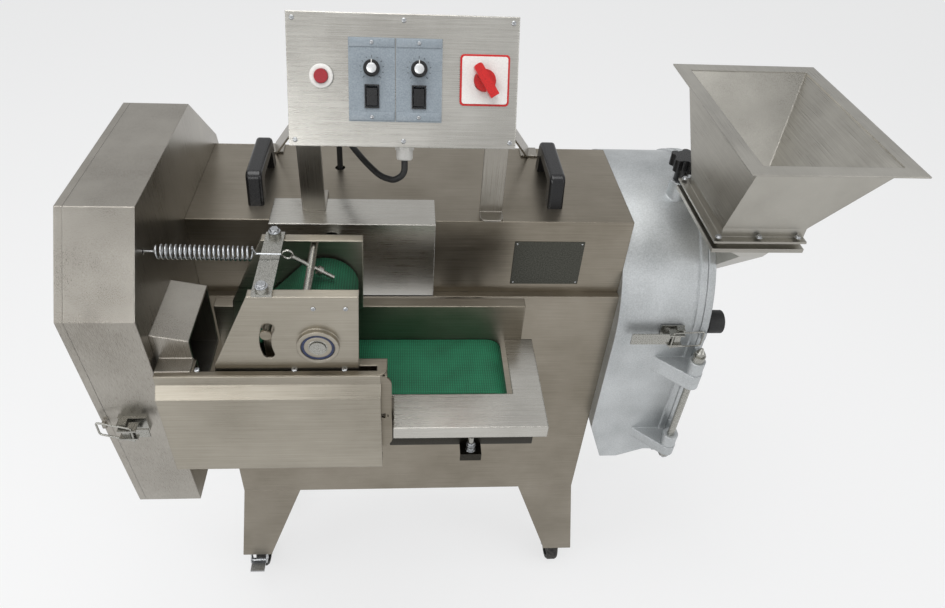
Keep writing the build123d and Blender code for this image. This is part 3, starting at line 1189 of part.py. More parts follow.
# Carrying handles: moulded bridges along Y
def carry_handles():
    handles = []
    y0 = 35.0
    y1 = 170.0
    high = 50.0
    for x in (96.0, CAB_L - 115.0):
        outer = [(y0, CAB_TOP), (y0 + 10, CAB_TOP + high), (y1 - 10, CAB_TOP + high), (y1, CAB_TOP)]
        inner = [(y0 + 24, CAB_TOP - 1), (y0 + 28, CAB_TOP + high - 17), (y1 - 28, CAB_TOP + high - 17),
                 (y1 - 24, CAB_TOP - 1)]
        bar = slab_yz(outer, x - 12, 24)
        bar = fillet(bar.edges().filter_by(Axis.X).group_by(Axis.Z)[-1], 12)
        grip = slab_yz(inner, x - 13, 26)
        grip = fillet(grip.edges().filter_by(Axis.X).group_by(Axis.Z)[-1], 8)
        bar -= grip
        bar = fillet(bar.edges().filter_by(GeomType.LINE).group_by(Axis.Z)[-1], 5)
        handles.append(bar)
    keep("carry_handles", *handles)


cabinet_shell()
keep("cabinet_panels", lower_front_panel(), rear_panel())
leg_frames()
casters()
leaf_housing()
leaf_lid()
leaf_knives()
leaf_shaft()
spindle_housings()
mouth_box()
conveyor_side_plates()
feed_table()
trough_cover()
rollers()
press_plates()
press_yoke()
press_rolls()
tension_spring()
transfer_gear()
drive_belts()
conveyor_motor()
keep_motors()
drive_cover()
slicing_casing()
hopper()
hinge_pin()
star_knob()
draw_latches()
slicing_rotor()
control_box()
cable_gland()
control_cable()
box_brackets()
panel_fittings()
panel_controls()
carry_handles()

os.makedirs("parts", exist_ok=True)
for name, solid in pieces.items():
    export_step(solid, f"parts/{name}.step")
print(len(pieces), "nodes")
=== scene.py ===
from math import cos, radians, sin

import bpy
from mathutils import Matrix, Vector


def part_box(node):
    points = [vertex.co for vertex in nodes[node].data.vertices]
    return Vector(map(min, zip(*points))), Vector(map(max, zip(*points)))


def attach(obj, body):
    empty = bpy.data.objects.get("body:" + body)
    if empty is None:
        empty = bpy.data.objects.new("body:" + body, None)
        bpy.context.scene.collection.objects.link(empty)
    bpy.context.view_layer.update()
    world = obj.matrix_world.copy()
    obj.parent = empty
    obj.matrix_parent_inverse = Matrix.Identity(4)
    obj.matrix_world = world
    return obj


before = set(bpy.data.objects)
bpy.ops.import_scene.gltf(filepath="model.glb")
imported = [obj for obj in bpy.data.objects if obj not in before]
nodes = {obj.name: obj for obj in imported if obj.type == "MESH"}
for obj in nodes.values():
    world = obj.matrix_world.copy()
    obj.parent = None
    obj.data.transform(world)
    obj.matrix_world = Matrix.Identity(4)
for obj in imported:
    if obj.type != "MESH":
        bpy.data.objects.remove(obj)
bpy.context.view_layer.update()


# Cabinet, legs and folded sheet parts: 2 mm stainless sheet with a brushed
# grain, along the machine or upright, dulled by handling. Lengths are in
# millimetres from the floor under the cabinet's left front corner.
MIDDLE = (439.5, 57.0)


def local(x, y, z):
    """A drawn place in millimetres from the shared frame's origin, the machine's middle."""
    return x - MIDDLE[0], y - MIDDLE[1], z


def at(x, y, z):
    """The same place in metres, as a vector."""
    return Vector(local(x, y, z)) / 1000


def linear(code):
    """A finish's written sRGB colour as the renderer's linear one."""
    parts = [int(code[i:i + 2], 16) / 255 for i in (1, 3, 5)]
    parts = [p / 12.92 if p < 0.04045 else ((p + 0.055) / 1.055) ** 2.4 for p in parts]
    return (*parts, 1.0)


def add(tree, kind, inputs=None, **settings):
    """Adds one node, sets its settings, and fills or links its inputs."""
    node = tree.nodes.new("ShaderNode" + kind)
    for name, value in settings.items():
        setattr(node, name, value)
    for name, value in (inputs or {}).items():
        if hasattr(value, "is_output"):
            tree.links.new(value, node.inputs[name])
        else:
            node.inputs[name].default_value = value
    return node


def finish_named(name, shader):
    """A new material whose surface is one principled shader with these constants."""
    material = bpy.data.materials.new(name)
    material.use_nodes = True
    tree = material.node_tree
    tree.nodes.clear()
    surface = add(tree, "BsdfPrincipled", shader)
    output = add(tree, "OutputMaterial")
    tree.links.new(surface.outputs[0], output.inputs[0])
    coordinates = add(tree, "TexCoord")
    return material, tree, surface, coordinates.outputs["Object"]


def ramp(tree, factor, low, high):
    """A colour ramp between two stops, each a position and a written colour."""
    node = add(tree, "ValToRGB", {"Fac": factor})
    for element, (place, code) in zip(node.color_ramp.elements, (low, high)):
        element.position = place
        element.color = linear(code)
    return node.outputs[0]


def brushed_sheet(name, grain, dark, pale, rough):
    """Stainless sheet: streaks 0.6 mm wide and 80 mm long, along the given axis.

    The folds are shaded as if 2.2 mm round, so that they catch the light as a pale line.
    """
    across, along, fold_radius = 1600.0, 12.0, 0.0022
    material, tree, surface, place = finish_named(name, {"Metallic": 1.0})
    stretch = [across, across, across]
    stretch[grain] = along
    scaled = add(tree, "Mapping", {"Vector": place, "Scale": stretch})
    streaks = add(tree, "TexNoise", {"Vector": scaled.outputs[0], "Scale": 1.0, "Detail": 3.0,
                                     "Roughness": 0.6})
    clouds = add(tree, "TexNoise", {"Vector": place, "Scale": 7.0, "Detail": 4.0, "Roughness": 0.55})
    blend = add(tree, "Mix", {"Factor": 0.5, "A": streaks.outputs[0], "B": clouds.outputs[0]})
    tree.links.new(ramp(tree, blend.outputs[0], (0.32, dark), (0.66, pale)), surface.inputs["Base Color"])
    worn = add(tree, "MapRange", {"Value": blend.outputs[0], "From Min": 0.35, "From Max": 0.65,
                                  "To Min": rough - 0.06, "To Max": rough + 0.08})
    tree.links.new(worn.outputs[0], surface.inputs["Roughness"])
    fold = add(tree, "Bevel", {"Radius": fold_radius}, samples=4)
    bump = add(tree, "Bump", {"Height": streaks.outputs[0], "Strength": 0.12, "Distance": 0.0002,
                              "Normal": fold.outputs[0]})
    tree.links.new(bump.outputs[0], surface.inputs["Normal"])
    return material


def dress(material, *names):
    """Gives CAD nodes their finish."""
    for name in names:
        nodes[name].data.materials.clear()
        nodes[name].data.materials.append(material)


ALONG, DEEP, UPRIGHT = 0, 1, 2
cabinet_steel = brushed_sheet("brushed stainless, grain along the machine", ALONG,
                              "#746d60", "#9a9387", 0.34)
upright_steel = brushed_sheet("brushed stainless, grain upright", UPRIGHT, "#87827a", "#b1ada5", 0.30)
guard_steel = brushed_sheet("bright brushed stainless guards", ALONG, "#aaa7a0", "#c6c4be", 0.26)
trough_steel = brushed_sheet("brushed stainless trough cover", ALONG, "#8b8579", "#aba599", 0.32)
dress(cabinet_steel, "cabinet_shell", "cabinet_panels", "leg_frames", "conveyor_frame")
dress(upright_steel, "leaf_housing", "leaf_lid", "box_brackets", "mouth_box")
dress(guard_steel, "feed_table", "drive_cover", "control_box", "control_panel")
dress(trough_steel, "trough_cover", "press_plates")


# Machine screws: pressed steel, pan heads with a cross recess or hexagon
# heads on a washer. Each kind is modelled once and copied with its own mesh.
def machined(name, dark, pale, rough, mark=900.0):
    """Turned, ground, plated or blackened metal, with this many tool marks to a metre."""
    material, tree, surface, place = finish_named(name, {"Metallic": 1.0})
    marks = add(tree, "TexNoise", {"Vector": place, "Scale": mark, "Detail": 3.0})
    tree.links.new(ramp(tree, marks.outputs[0], (0.3, dark), (0.7, pale)), surface.inputs["Base Color"])
    worn = add(tree, "MapRange", {"Value": marks.outputs[0], "To Min": rough - 0.06, "To Max": rough + 0.1})
    tree.links.new(worn.outputs[0], surface.inputs["Roughness"])
    bump = add(tree, "Bump", {"Height": marks.outputs[0], "Strength": 0.08, "Distance": 0.0002})
    tree.links.new(bump.outputs[0], surface.inputs["Normal"])
    return material


plated_steel = machined("zinc plated steel", "#8f9193", "#c2c4c6", 0.28)
turned_steel = machined("turned steel", "#86857f", "#b4b3ad", 0.26)


def select_only(piece):
    """Makes one piece the selected and active one, for the operators."""
    for other in list(bpy.context.selected_objects):
        other.select_set(False)
    piece.select_set(True)
    bpy.context.view_layer.objects.active = piece


def settle(piece, name, material, body):
    """Names a piece, applies its modifiers, shades it, and fixes it to its body."""
    sharp_from = radians(35)
    piece.name = name
    piece.data.name = name
    select_only(piece)
    for modifier in list(piece.modifiers):
        bpy.ops.object.modifier_apply(modifier=modifier.name)
    bpy.ops.object.transform_apply(location=True, rotation=True, scale=True)
    bpy.ops.object.shade_smooth_by_angle(angle=sharp_from)
    piece.data.materials.clear()
    piece.data.materials.append(material)
    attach(piece, body)


def facing(normal, roll=0.0):
    """Turns a piece drawn upright towards this normal, rolled about it by degrees."""
    towards = Vector(normal).to_track_quat("Z", "Y").to_matrix().to_4x4()
    return towards @ Matrix.Rotation(radians(roll), 4, "Z")


def bevelled(piece, width, segments):
    """Rounds the sharp edges by this width in millimetres."""
    modifier = piece.modifiers.new("edge", "BEVEL")
    modifier.width = width / 1000
    modifier.segments = segments
    modifier.limit_method = "ANGLE"


def cut_by(piece, cutter, operation="DIFFERENCE"):
    """Cuts or joins one solid with another, which is used up."""
    select_only(piece)
    modifier = piece.modifiers.new("cut", "BOOLEAN")
    modifier.object = cutter
    modifier.operation = operation
    modifier.solver = "EXACT"
    bpy.ops.object.modifier_apply(modifier=modifier.name)
    bpy.data.objects.remove(cutter)


def slab(width, depth, height, centre=(0, 0, 0)):
    """A block in millimetres, around its centre."""
    bpy.ops.mesh.primitive_cube_add(size=1, location=Vector(centre) / 1000)
    piece = bpy.context.object
    piece.scale = (width / 1000, depth / 1000, height / 1000)
    select_only(piece)
    bpy.ops.object.transform_apply(location=True, rotation=True, scale=True)
    return piece


def disc(radius, height, sides, low=0.0, top=None):
    """A round or many-sided piece standing on height low, in millimetres."""
    bpy.ops.mesh.primitive_cone_add(vertices=sides, radius1=radius / 1000, depth=height / 1000,
                                    radius2=(radius if top is None else top) / 1000,
                                    location=(0, 0, (low + height / 2) / 1000))
    piece = bpy.context.object
    select_only(piece)
    bpy.ops.object.transform_apply(location=True, rotation=True, scale=True)
    return piece


def edges_applied(head, width, segments):
    """Bevels a screw head at once, before it is cut or copied."""
    bevelled(head, width, segments)
    select_only(head)
    bpy.ops.object.modifier_apply(modifier="edge")


def pan_head():
    """A cross-recessed head of radius 1 mm."""
    head = disc(1.0, 0.45, 20, top=0.72)
    edges_applied(head, 0.16, 2)
    for turn in (0, 90):
        blade = slab(0.95, 0.2, 0.5, (0, 0, 0.45))
        blade.matrix_world = Matrix.Rotation(radians(turn), 4, "Z")
        bpy.context.view_layer.update()
        cut_by(head, blade)
    return head


def hex_head():
    """A hexagon head of radius 1 mm on its washer."""
    head = disc(1.0, 0.62, 6, low=0.2)
    cut_by(head, disc(1.3, 0.2, 24), "UNION")
    edges_applied(head, 0.07, 1)
    return head


def mesh_of(head):
    """Keeps a finished head's mesh and takes its object out of the scene."""
    mesh = head.data.copy()
    bpy.data.objects.remove(head)
    return mesh


pan_mesh = mesh_of(pan_head())
hex_mesh = mesh_of(hex_head())


def fasten(name, mesh, radius, spot, normal, body="machine", roll=20.0):
    """One plated head of this radius on a face, turned as it was left."""
    piece = bpy.data.objects.new(name, mesh.copy())
    bpy.context.scene.collection.objects.link(piece)
    piece.data.transform(Matrix.Translation(spot) @ facing(normal, roll) @ Matrix.Scale(radius, 4))
    settle(piece, name, plated_steel, body)


COVER_SCREWS = [((x, -232, 910), (0, 0, 1)) for x in (56, 177, 240)]
CABINET_SCREWS = [((x, 0, 828), (0, -1, 0)) for x in (640, 20, 450)]
for count, (spot, normal) in enumerate(COVER_SCREWS + CABINET_SCREWS):
    fasten(f"sheet_screw_{count}", pan_mesh, 4.2, at(*spot), normal, roll=25 * count)


# Apron under the feed table's lip: a folded strip over the table's rail, hanging below it, with an angle
# clamp, a stud and two lock nuts. Its near-black colour is painted shade for the shadowed slot under the
# lip.
# Near-black steel for the apron and its clamp: painted shade of the slot under the table's lip.
painted_shade_steel = machined("near-black steel, painted shade under the table", "#26241f", "#3d3a33", 0.42, 500.0)
APRON_LEFT, APRON_RIGHT = 296.0, 499.0
APRON_LOW, APRON_HIGH = 754.0, 797.0
APRON_FRONT, APRON_DEEP, APRON_SHEET = -231.0, 13.2, 2.0
APRON_LONG = APRON_RIGHT - APRON_LEFT
APRON_X = (APRON_LEFT + APRON_RIGHT) / 2
APRON_Y = APRON_FRONT + APRON_DEEP / 2
apron = slab(APRON_LONG, APRON_DEEP, APRON_HIGH - APRON_LOW,
             local(APRON_X, APRON_Y, (APRON_LOW + APRON_HIGH) / 2))
cut_by(apron, slab(APRON_LONG + 8, APRON_DEEP, 26,
                   local(APRON_X, APRON_Y + APRON_SHEET, APRON_LOW + 11)))
bevelled(apron, 0.5, 2)
settle(apron, "table_apron", painted_shade_steel, "machine")
CLAMP_X, CLAMP_WIDE = 410.0, 30
clamp = slab(CLAMP_WIDE, 20, 2.6, local(CLAMP_X, APRON_FRONT - 8.5, APRON_LOW))
lip = slab(CLAMP_WIDE, 3, 14, local(CLAMP_X, APRON_FRONT - 17, APRON_LOW - 5.7))
cut_by(clamp, lip, "UNION")
bevelled(clamp, 0.6, 2)
settle(clamp, "table_apron_clamp", painted_shade_steel, "machine")
STUD_Y = APRON_FRONT - 9
stud = disc(3.2, 38, 24)
bevelled(stud, 0.6, 2)
stud.data.transform(Matrix.Translation(at(CLAMP_X, STUD_Y, APRON_LOW - 10)))
settle(stud, "table_apron_stud", turned_steel, "machine")
for count, above in enumerate((1.3, 12)):
    spot = at(CLAMP_X, STUD_Y, APRON_LOW + above)
    fasten(f"table_apron_nut_{count}", hex_mesh, 5.4, spot, (0, 0, 1), roll=17 * count)


# Rating plate: a bare etched aluminium plate with a dark face, held to the
# cabinet's upper front by four small pan heads. Nothing is written on it.
def speckled(name, shader, scale, detail, low, high):
    """A finish mottled between two tones, with this many spots to a metre."""
    material, tree, surface, place = finish_named(name, shader)
    spots = add(tree, "TexNoise", {"Vector": place, "Scale": scale, "Detail": detail})
    tree.links.new(ramp(tree, spots.outputs[0], low, high), surface.inputs["Base Color"])
    return material


etched = speckled("etched dark aluminium plate", {"Metallic": 0.7, "Roughness": 0.42}, 500.0, 4.0,
                  (0.3, "#34342f"), (0.75, "#55554d"))
PLATE_X, PLATE_Z = 537, 903
PLATE_WIDE, PLATE_HIGH, RIVET_INSET = 108, 82, 4
plate = slab(PLATE_WIDE, 1.0, PLATE_HIGH, local(PLATE_X, -0.6, PLATE_Z))
bevelled(plate, 0.4, 1)
settle(plate, "rating_plate", etched, "machine")
for count, (side, row) in enumerate(((-1, -1), (1, -1), (-1, 1), (1, 1))):
    x = PLATE_X + side * (PLATE_WIDE / 2 - RIVET_INSET)
    z = PLATE_Z + row * (PLATE_HIGH / 2 - RIVET_INSET)
    fasten(f"plate_rivet_{count}", pan_mesh, 1.6, at(x, -1.1, z), (0, -1, 0))


# Feed belts: woven polyester coated with green PVC. The weave is 3 mm apart
# both ways, about twice the real pitch, so that it shows.
def woven_belt(name, deep, face):
    """Belt cloth, from the tone between the threads to that of its face."""
    material, tree, surface, place = finish_named(name, {"Roughness": 0.62, "Specular IOR Level": 0.3})
    waves = []
    for direction in ("X", "Y"):
        wave = add(tree, "TexWave", {"Vector": place, "Scale": 100.0, "Distortion": 0.6, "Detail": 1.0},
                   bands_direction=direction)
        waves.append(wave.outputs[1])
    weave = add(tree, "Math", {0: waves[0], 1: waves[1]}, operation="MULTIPLY")
    dust = add(tree, "TexNoise", {"Vector": place, "Scale": 30.0, "Detail": 4.0})
    tone = add(tree, "Mix", {"Factor": 0.4, "A": weave.outputs[0], "B": dust.outputs[0]})
    tree.links.new(ramp(tree, tone.outputs[0], (0.1, deep), (0.6, face)), surface.inputs["Base Color"])
    bump = add(tree, "Bump", {"Height": weave.outputs[0], "Strength": 0.5, "Distance": 0.0006})
    tree.links.new(bump.outputs[0], surface.inputs["Normal"])
    return material


belt_cloth = woven_belt("green coated belt cloth", "#0d3a26", "#1f7350")
# The press unit's belt is a darker copy of the same cloth: painted shade under the press unit.
shaded_cloth = woven_belt("green coated belt cloth, press unit", "#0a2c1d", "#175a3e")
dress(belt_cloth, "lower_belt")
dress(shaded_cloth, "upper_belt")


# Press unit: two bright plates around the drum and the nose roller, tied by
# a flat strap with two bolts; the drum turns in a flanged ball bearing.
dress(turned_steel, "press_yoke", "press_drum", "nose_roller", "idle_roller", "drive_roller",
      "transfer_gear", "leaf_shaft", "slicing_shaft", "hinge_pin", "latch_bases", "lid_latch_lever",
      "lid_latch_bail", "casing_latch_lever", "casing_latch_bail")
dress(plated_steel, "tension_spring")
seal = speckled("dark blue rubber bearing seal", {"Roughness": 0.45}, 400.0, 2.0,
                (0.3, "#141c33"), (0.7, "#26345c"))
BEARING = Matrix.Translation(at(210, -236.2, 954)) @ facing((0, -1, 0))
ring = disc(20.4, 1.2, 48)
cut_by(ring, disc(12.5, 4, 48, low=-1))
ring.data.transform(BEARING)
settle(ring, "bearing_seal", seal, "press_unit")
inner = disc(12.2, 1.8, 48)
cut_by(inner, disc(10.2, 4, 48, low=-1))
inner.data.transform(BEARING)
bevelled(inner, 0.4, 1)
settle(inner, "bearing_inner_ring", turned_steel, "press_unit")
PRESS_FACE, PRESS_SCREW_Z = -231.5, 1012
for count, x in enumerate((208, 246)):
    spot = at(x, PRESS_FACE, PRESS_SCREW_Z)
    fasten(f"press_screw_{count}", pan_mesh, 3.4, spot, (0, -1, 0), "press_unit", 30 * count)
STRAP_X, STRAP_TOP = 150, 1040
for count, y in enumerate((-223.5, -114)):
    spot = at(STRAP_X, y, STRAP_TOP)
    fasten(f"strap_bolt_{count}", hex_mesh, 6.0, spot, (0, 0, 1), "press_unit", 12 + 20 * count)


# Root slicing head: sand-cast aluminium under clear lacquer, paler and
# grainier than the sheet parts. The knives of the other head are ground steel.
def cast_finish(name, dark, pale, rough):
    """Lacquered casting, its edges shaded as if 3 mm round."""
    material, tree, surface, place = finish_named(name, {"Metallic": 0.85})
    sand = add(tree, "TexNoise", {"Vector": place, "Scale": 420.0, "Detail": 5.0, "Roughness": 0.65})
    patches = add(tree, "TexNoise", {"Vector": place, "Scale": 12.0, "Detail": 4.0})
    blend = add(tree, "Mix", {"Factor": 0.5, "A": sand.outputs[0], "B": patches.outputs[0]})
    tree.links.new(ramp(tree, blend.outputs[0], (0.34, dark), (0.64, pale)), surface.inputs["Base Color"])
    worn = add(tree, "MapRange", {"Value": sand.outputs[0], "To Min": rough - 0.08, "To Max": rough + 0.12})
    tree.links.new(worn.outputs[0], surface.inputs["Roughness"])
    corner = add(tree, "Bevel", {"Radius": 0.003}, samples=4)
    bump = add(tree, "Bump", {"Height": sand.outputs[0], "Strength": 0.35, "Distance": 0.0004,
                              "Normal": corner.outputs[0]})
    tree.links.new(bump.outputs[0], surface.inputs["Normal"])
    return material


cast_aluminium = cast_finish("lacquered cast aluminium", "#a3a6a7", "#cccfd0", 0.44)
dress(cast_aluminium, "slicing_casing", "casing_cover", "spindle_housings", "slicing_disc")
knife_steel = machined("ground knife steel", "#a3a4a4", "#cfd0d0", 0.18, 300.0)
dress(knife_steel, "leaf_knives")


# Ends of the casing's hinge pin: a turned acorn nut above the upper lug and
# a plated hexagon head below the lower one, both 1 mm over the pin's ends.
low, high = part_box("hinge_pin")
pin_x, pin_y, overlap = (low.x + high.x) / 2, (low.y + high.y) / 2, 0.001
acorn = disc(8.4, 7, 6)
cut_by(acorn, disc(6.8, 9, 24, low=6.5, top=2.4), "UNION")
bevelled(acorn, 0.6, 2)
acorn.data.transform(Matrix.Translation((pin_x, pin_y, high.z - overlap)))
settle(acorn, "hinge_acorn_nut", turned_steel, "machine")
fasten("hinge_bolt_head", hex_mesh, 7.5, Vector((pin_x, pin_y, low.z + overlap)), (0, 0, -1))


# Cap on the casing cover's tube stub: moulded black rubber, pushed 11 mm over
# the tube, with round edges and a shallow dish in its face.
stopper_rubber = speckled("black moulded rubber", {"Roughness": 0.6}, 250.0, 3.0,
                          (0.3, "#131313"), (0.8, "#242424"))
STUB_R, STUB_END, STUB_Y, STUB_Z = 17.0, 828.0, -12, 791
cap = disc(STUB_R + 2.5, 26, 56)
cut_by(cap, disc(STUB_R - 3, 3, 56, low=24, top=STUB_R - 1.5))
bevelled(cap, 1.6, 3)
cap.data.transform(Matrix.Translation(at(STUB_END - 11, STUB_Y, STUB_Z)) @ facing((1, 0, 0)))
settle(cap, "tube_cap", stopper_rubber, "casing_door")


# Hopper: 2 mm stainless sheet folded into a funnel, corners welded and ground,
# rim folded flat, bolted to the feed chute through a double flange.
hopper_steel = brushed_sheet("ground stainless funnel sheet", DEEP, "#8e8b84", "#b9b6ae", 0.32)
dress(hopper_steel, "hopper", "feed_chute")
FLANGE_TOP, FLANGE_FRONT, FLANGE_BACK = 1025, -97, 55
FLANGE_BOLTS = ((743, FLANGE_FRONT), (743, FLANGE_BACK), (800, FLANGE_FRONT), (855, FLANGE_FRONT),
                (800, FLANGE_BACK), (855, FLANGE_BACK))
for count, (x, y) in enumerate(FLANGE_BOLTS):
    fasten(f"flange_bolt_{count}", hex_mesh, 3.6, at(x, y, FLANGE_TOP), (0, 0, 1), "casing_door", 9 * count)


# Control box and its modules: blue-grey polycarbonate speed controls, each
# with a pointer knob, a tick ring and a black rocker; a red and white switch.
def moulded(name, low, high, rough, grain=600.0, coat=0.0):
    """Moulded plastic or enamel, with this many grains to a metre."""
    material, tree, surface, place = finish_named(name, {"Coat Weight": coat, "Specular IOR Level": 0.45})
    grit = add(tree, "TexNoise", {"Vector": place, "Scale": grain, "Detail": 3.0})
    tree.links.new(ramp(tree, grit.outputs[0], (0.3, low), (0.75, high)), surface.inputs["Base Color"])
    worn = add(tree, "MapRange", {"Value": grit.outputs[0], "To Min": rough - 0.08, "To Max": rough + 0.1})
    tree.links.new(worn.outputs[0], surface.inputs["Roughness"])
    bump = add(tree, "Bump", {"Height": grit.outputs[0], "Strength": 0.15, "Distance": 0.0002})
    tree.links.new(bump.outputs[0], surface.inputs["Normal"])
    return material


module_plastic = moulded("blue-grey moulded polycarbonate", "#7b848b", "#959ea5", 0.38)
black_plastic = moulded("black moulded nylon", "#0c0c0d", "#18181a", 0.28)
red_plastic = moulded("red moulded plastic", "#b01212", "#cf1d1a", 0.3, coat=0.3)
white_plastic = moulded("off-white moulded plastic", "#d9d7d2", "#e8e6e2", 0.4)
dress(module_plastic, "panel_fittings")
dress(black_plastic, "speed_knob_left", "speed_knob_right", "rocker_switch_left",
      "rocker_switch_right", "star_knob", "carry_handles")
dress(white_plastic, "cable_glands")
red_lens = moulded("deep red translucent lens", "#8a1420", "#a81c2a", 0.22, coat=0.6)
dress(red_plastic, "selector_lever")
dress(red_lens, "stop_button")
dress(stopper_rubber, "control_cable", "drive_belts")
TILT = radians(26.2)  # of the panel, back from upright
OUT = Vector((0, -cos(TILT), sin(TILT)))
UP = Vector((0, sin(TILT), cos(TILT)))
PANEL_MIDDLE = at(313.8, 18.5, 1186)
PANEL = Matrix.Translation(PANEL_MIDDLE) @ Matrix(
    ((1, 0, 0, 0), (0, UP.y, OUT.y, 0), (0, UP.z, OUT.z, 0), (0, 0, 0, 1)))


def on_panel(piece, u, v, n, turn=0.0):
    """Moves a piece drawn flat around the origin to the tilted panel.

    Millimetres right of the panel's middle, up its slope and out of its face.
    """
    move = Matrix.Translation((u / 1000, v / 1000, n / 1000)) @ Matrix.Rotation(radians(turn), 4, "Z")
    piece.data.transform(PANEL @ move)


def panel_screw(name, radius, u, v, n, roll):
    """A pan head on the panel or, raised by n, on what is fixed to it."""
    fasten(name, pan_mesh, radius, PANEL @ Vector((u / 1000, v / 1000, n / 1000)), OUT, "machine", roll)


bright_cap = machined("spun aluminium knob cap", "#c9cbcd", "#eceded", 0.3, 1500.0)
SCREW_U, SCREW_V = 142.1, 75.9
PANEL_SCREWS = [(u, v) for v in (SCREW_V, -SCREW_V) for u in (-SCREW_U, 0, SCREW_U)]
for count, (u, v) in enumerate(PANEL_SCREWS):
    panel_screw(f"panel_screw_{count}", 3.6, u, v, 0, 40 * count)
MODULE_TOP = 53.95
BAND_FACE = 4.9
DIAL_R, DIAL_V, FIRST_TICK, TICK_STEP = 15, MODULE_TOP - 38, 225, 27
KNOB_FACE = 17.3
ROCKER_V = MODULE_TOP - 73
for side, u in (("left", -41), ("right", 20)):
    for count, v in enumerate((MODULE_TOP - 6, MODULE_TOP - 99)):
        panel_screw(f"module_screw_{side}_{count}", 2.8, u, v, BAND_FACE, 15 + 60 * count)
    for end, v in (("top", MODULE_TOP - 6), ("foot", MODULE_TOP - 98)):
        band = slab(58, 11, 0.9, (0, 0, 0.45))
        bevelled(band, 0.4, 2)
        on_panel(band, u, v, 4.02)
        settle(band, f"module_band_{side}_{end}", module_plastic, "machine")
    for tick in range(11):
        turn = FIRST_TICK - TICK_STEP * tick
        mark = slab(3.0 if tick % 5 == 0 else 2.0, 0.6, 0.3)
        bevelled(mark, 0.1, 1)
        on_panel(mark, u + DIAL_R * cos(radians(turn)), DIAL_V + DIAL_R * sin(radians(turn)), 4.1, turn)
        settle(mark, f"dial_tick_{side}_{tick}", black_plastic, "machine")
    cap = disc(6.6, 0.9, 40, top=6.0)
    bevelled(cap, 0.25, 2)
    on_panel(cap, u, DIAL_V, KNOB_FACE)
    settle(cap, f"knob_cap_{side}", bright_cap, f"speed_knob_{side}_body")
    pointer = slab(1.2, 4.6, 0.5)
    bevelled(pointer, 0.15, 1)
    on_panel(pointer, u, DIAL_V + 8.4, KNOB_FACE + 1.3)
    settle(pointer, f"knob_pointer_{side}", white_plastic, f"speed_knob_{side}_body")
    bezel = slab(19, 30, 2.2, (0, 0, 1.1))
    cut_by(bezel, slab(15.2, 26.4, 8))
    bevelled(bezel, 0.5, 2)
    on_panel(bezel, u, ROCKER_V, 4.05)
    settle(bezel, f"rocker_bezel_{side}", black_plastic, "machine")


def rounded(piece, radius):
    """Rounds a plate's four upright corners, in edit mode."""
    select_only(piece)
    bpy.ops.object.mode_set(mode="EDIT")
    bpy.ops.mesh.select_mode(type="EDGE")
    bpy.ops.mesh.select_all(action="DESELECT")
    bpy.ops.object.mode_set(mode="OBJECT")
    for edge in piece.data.edges:
        low, high = (piece.data.vertices[index].co for index in edge.vertices)
        edge.select = (low - high).xy.length < 1e-6
    bpy.ops.object.mode_set(mode="EDIT")
    bpy.ops.mesh.bevel(offset=radius / 1000, segments=6)
    bpy.ops.object.mode_set(mode="OBJECT")


SWITCH_U, SWITCH_V, BORDER_WIDE, LABEL_WIDE = 105.9, 3.95, 65, 60
face = slab(BORDER_WIDE, BORDER_WIDE, 0.8, (0, 0, 0.4))
rounded(face, 5)
bevelled(face, 0.35, 1)
on_panel(face, SWITCH_U, SWITCH_V, 3.05)
settle(face, "switch_border", red_plastic, "machine")
label = slab(LABEL_WIDE, LABEL_WIDE, 0.6, (0, 0, 0.3))
rounded(label, 3.5)
cut_by(label, disc(14.6, 4, 48, low=-1))
bevelled(label, 0.2, 1)
on_panel(label, SWITCH_U, SWITCH_V, 3.95)
settle(label, "switch_face", white_plastic, "machine")
BUTTON_U, BUTTON_V = -106, 5
ring = disc(15.6, 1.6, 56, top=14.6)
cut_by(ring, disc(9.3, 6, 56, low=-2))
bevelled(ring, 0.4, 2)
on_panel(ring, BUTTON_U, BUTTON_V, 4.05)
settle(ring, "button_ring", white_plastic, "machine")


# Casters: pressed zinc-plated forks with grey-black rubber wheels, one with
# a foot brake; the tread is smooth and dusty. Each wheel gets two hub rings.
tyre_rubber = speckled("dusty black tyre rubber", {"Roughness": 0.75}, 160.0, 5.0,
                       (0.35, "#1d1c1b"), (0.75, "#4a4743"))
forks = [name for name in nodes if name.startswith("caster_fork")]
wheels = [name for name in nodes if name.startswith("caster_wheel")]
dress(plated_steel, "caster_mounts", "brake_pedal", *forks)
dress(tyre_rubber, *wheels)
HUB_SUNK = 0.0021  # metres
for name in wheels:
    low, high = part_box(name)
    middle = (low + high) / 2
    for mark, side, face_x in (("a", -1, low.x), ("b", 1, high.x)):
        hub = disc(13, 2.4, 40, top=11)
        cut_by(hub, disc(5.3, 8, 32, low=-2))
        bevelled(hub, 0.5, 1)
        spot = Vector((face_x - side * HUB_SUNK, middle.y, middle.z))
        hub.data.transform(Matrix.Translation(spot) @ facing((side, 0, 0)))
        settle(hub, f"{name}_hub_{mark}", plated_steel, name + "_body")


# Motors and gearbox inside the cabinet: cast bodies in blue-grey enamel.
motor_enamel = moulded("blue-grey enamel", "#3c4a58", "#4d5c6c", 0.4, 200.0)
dress(motor_enamel, "conveyor_motor", "drive_motors")


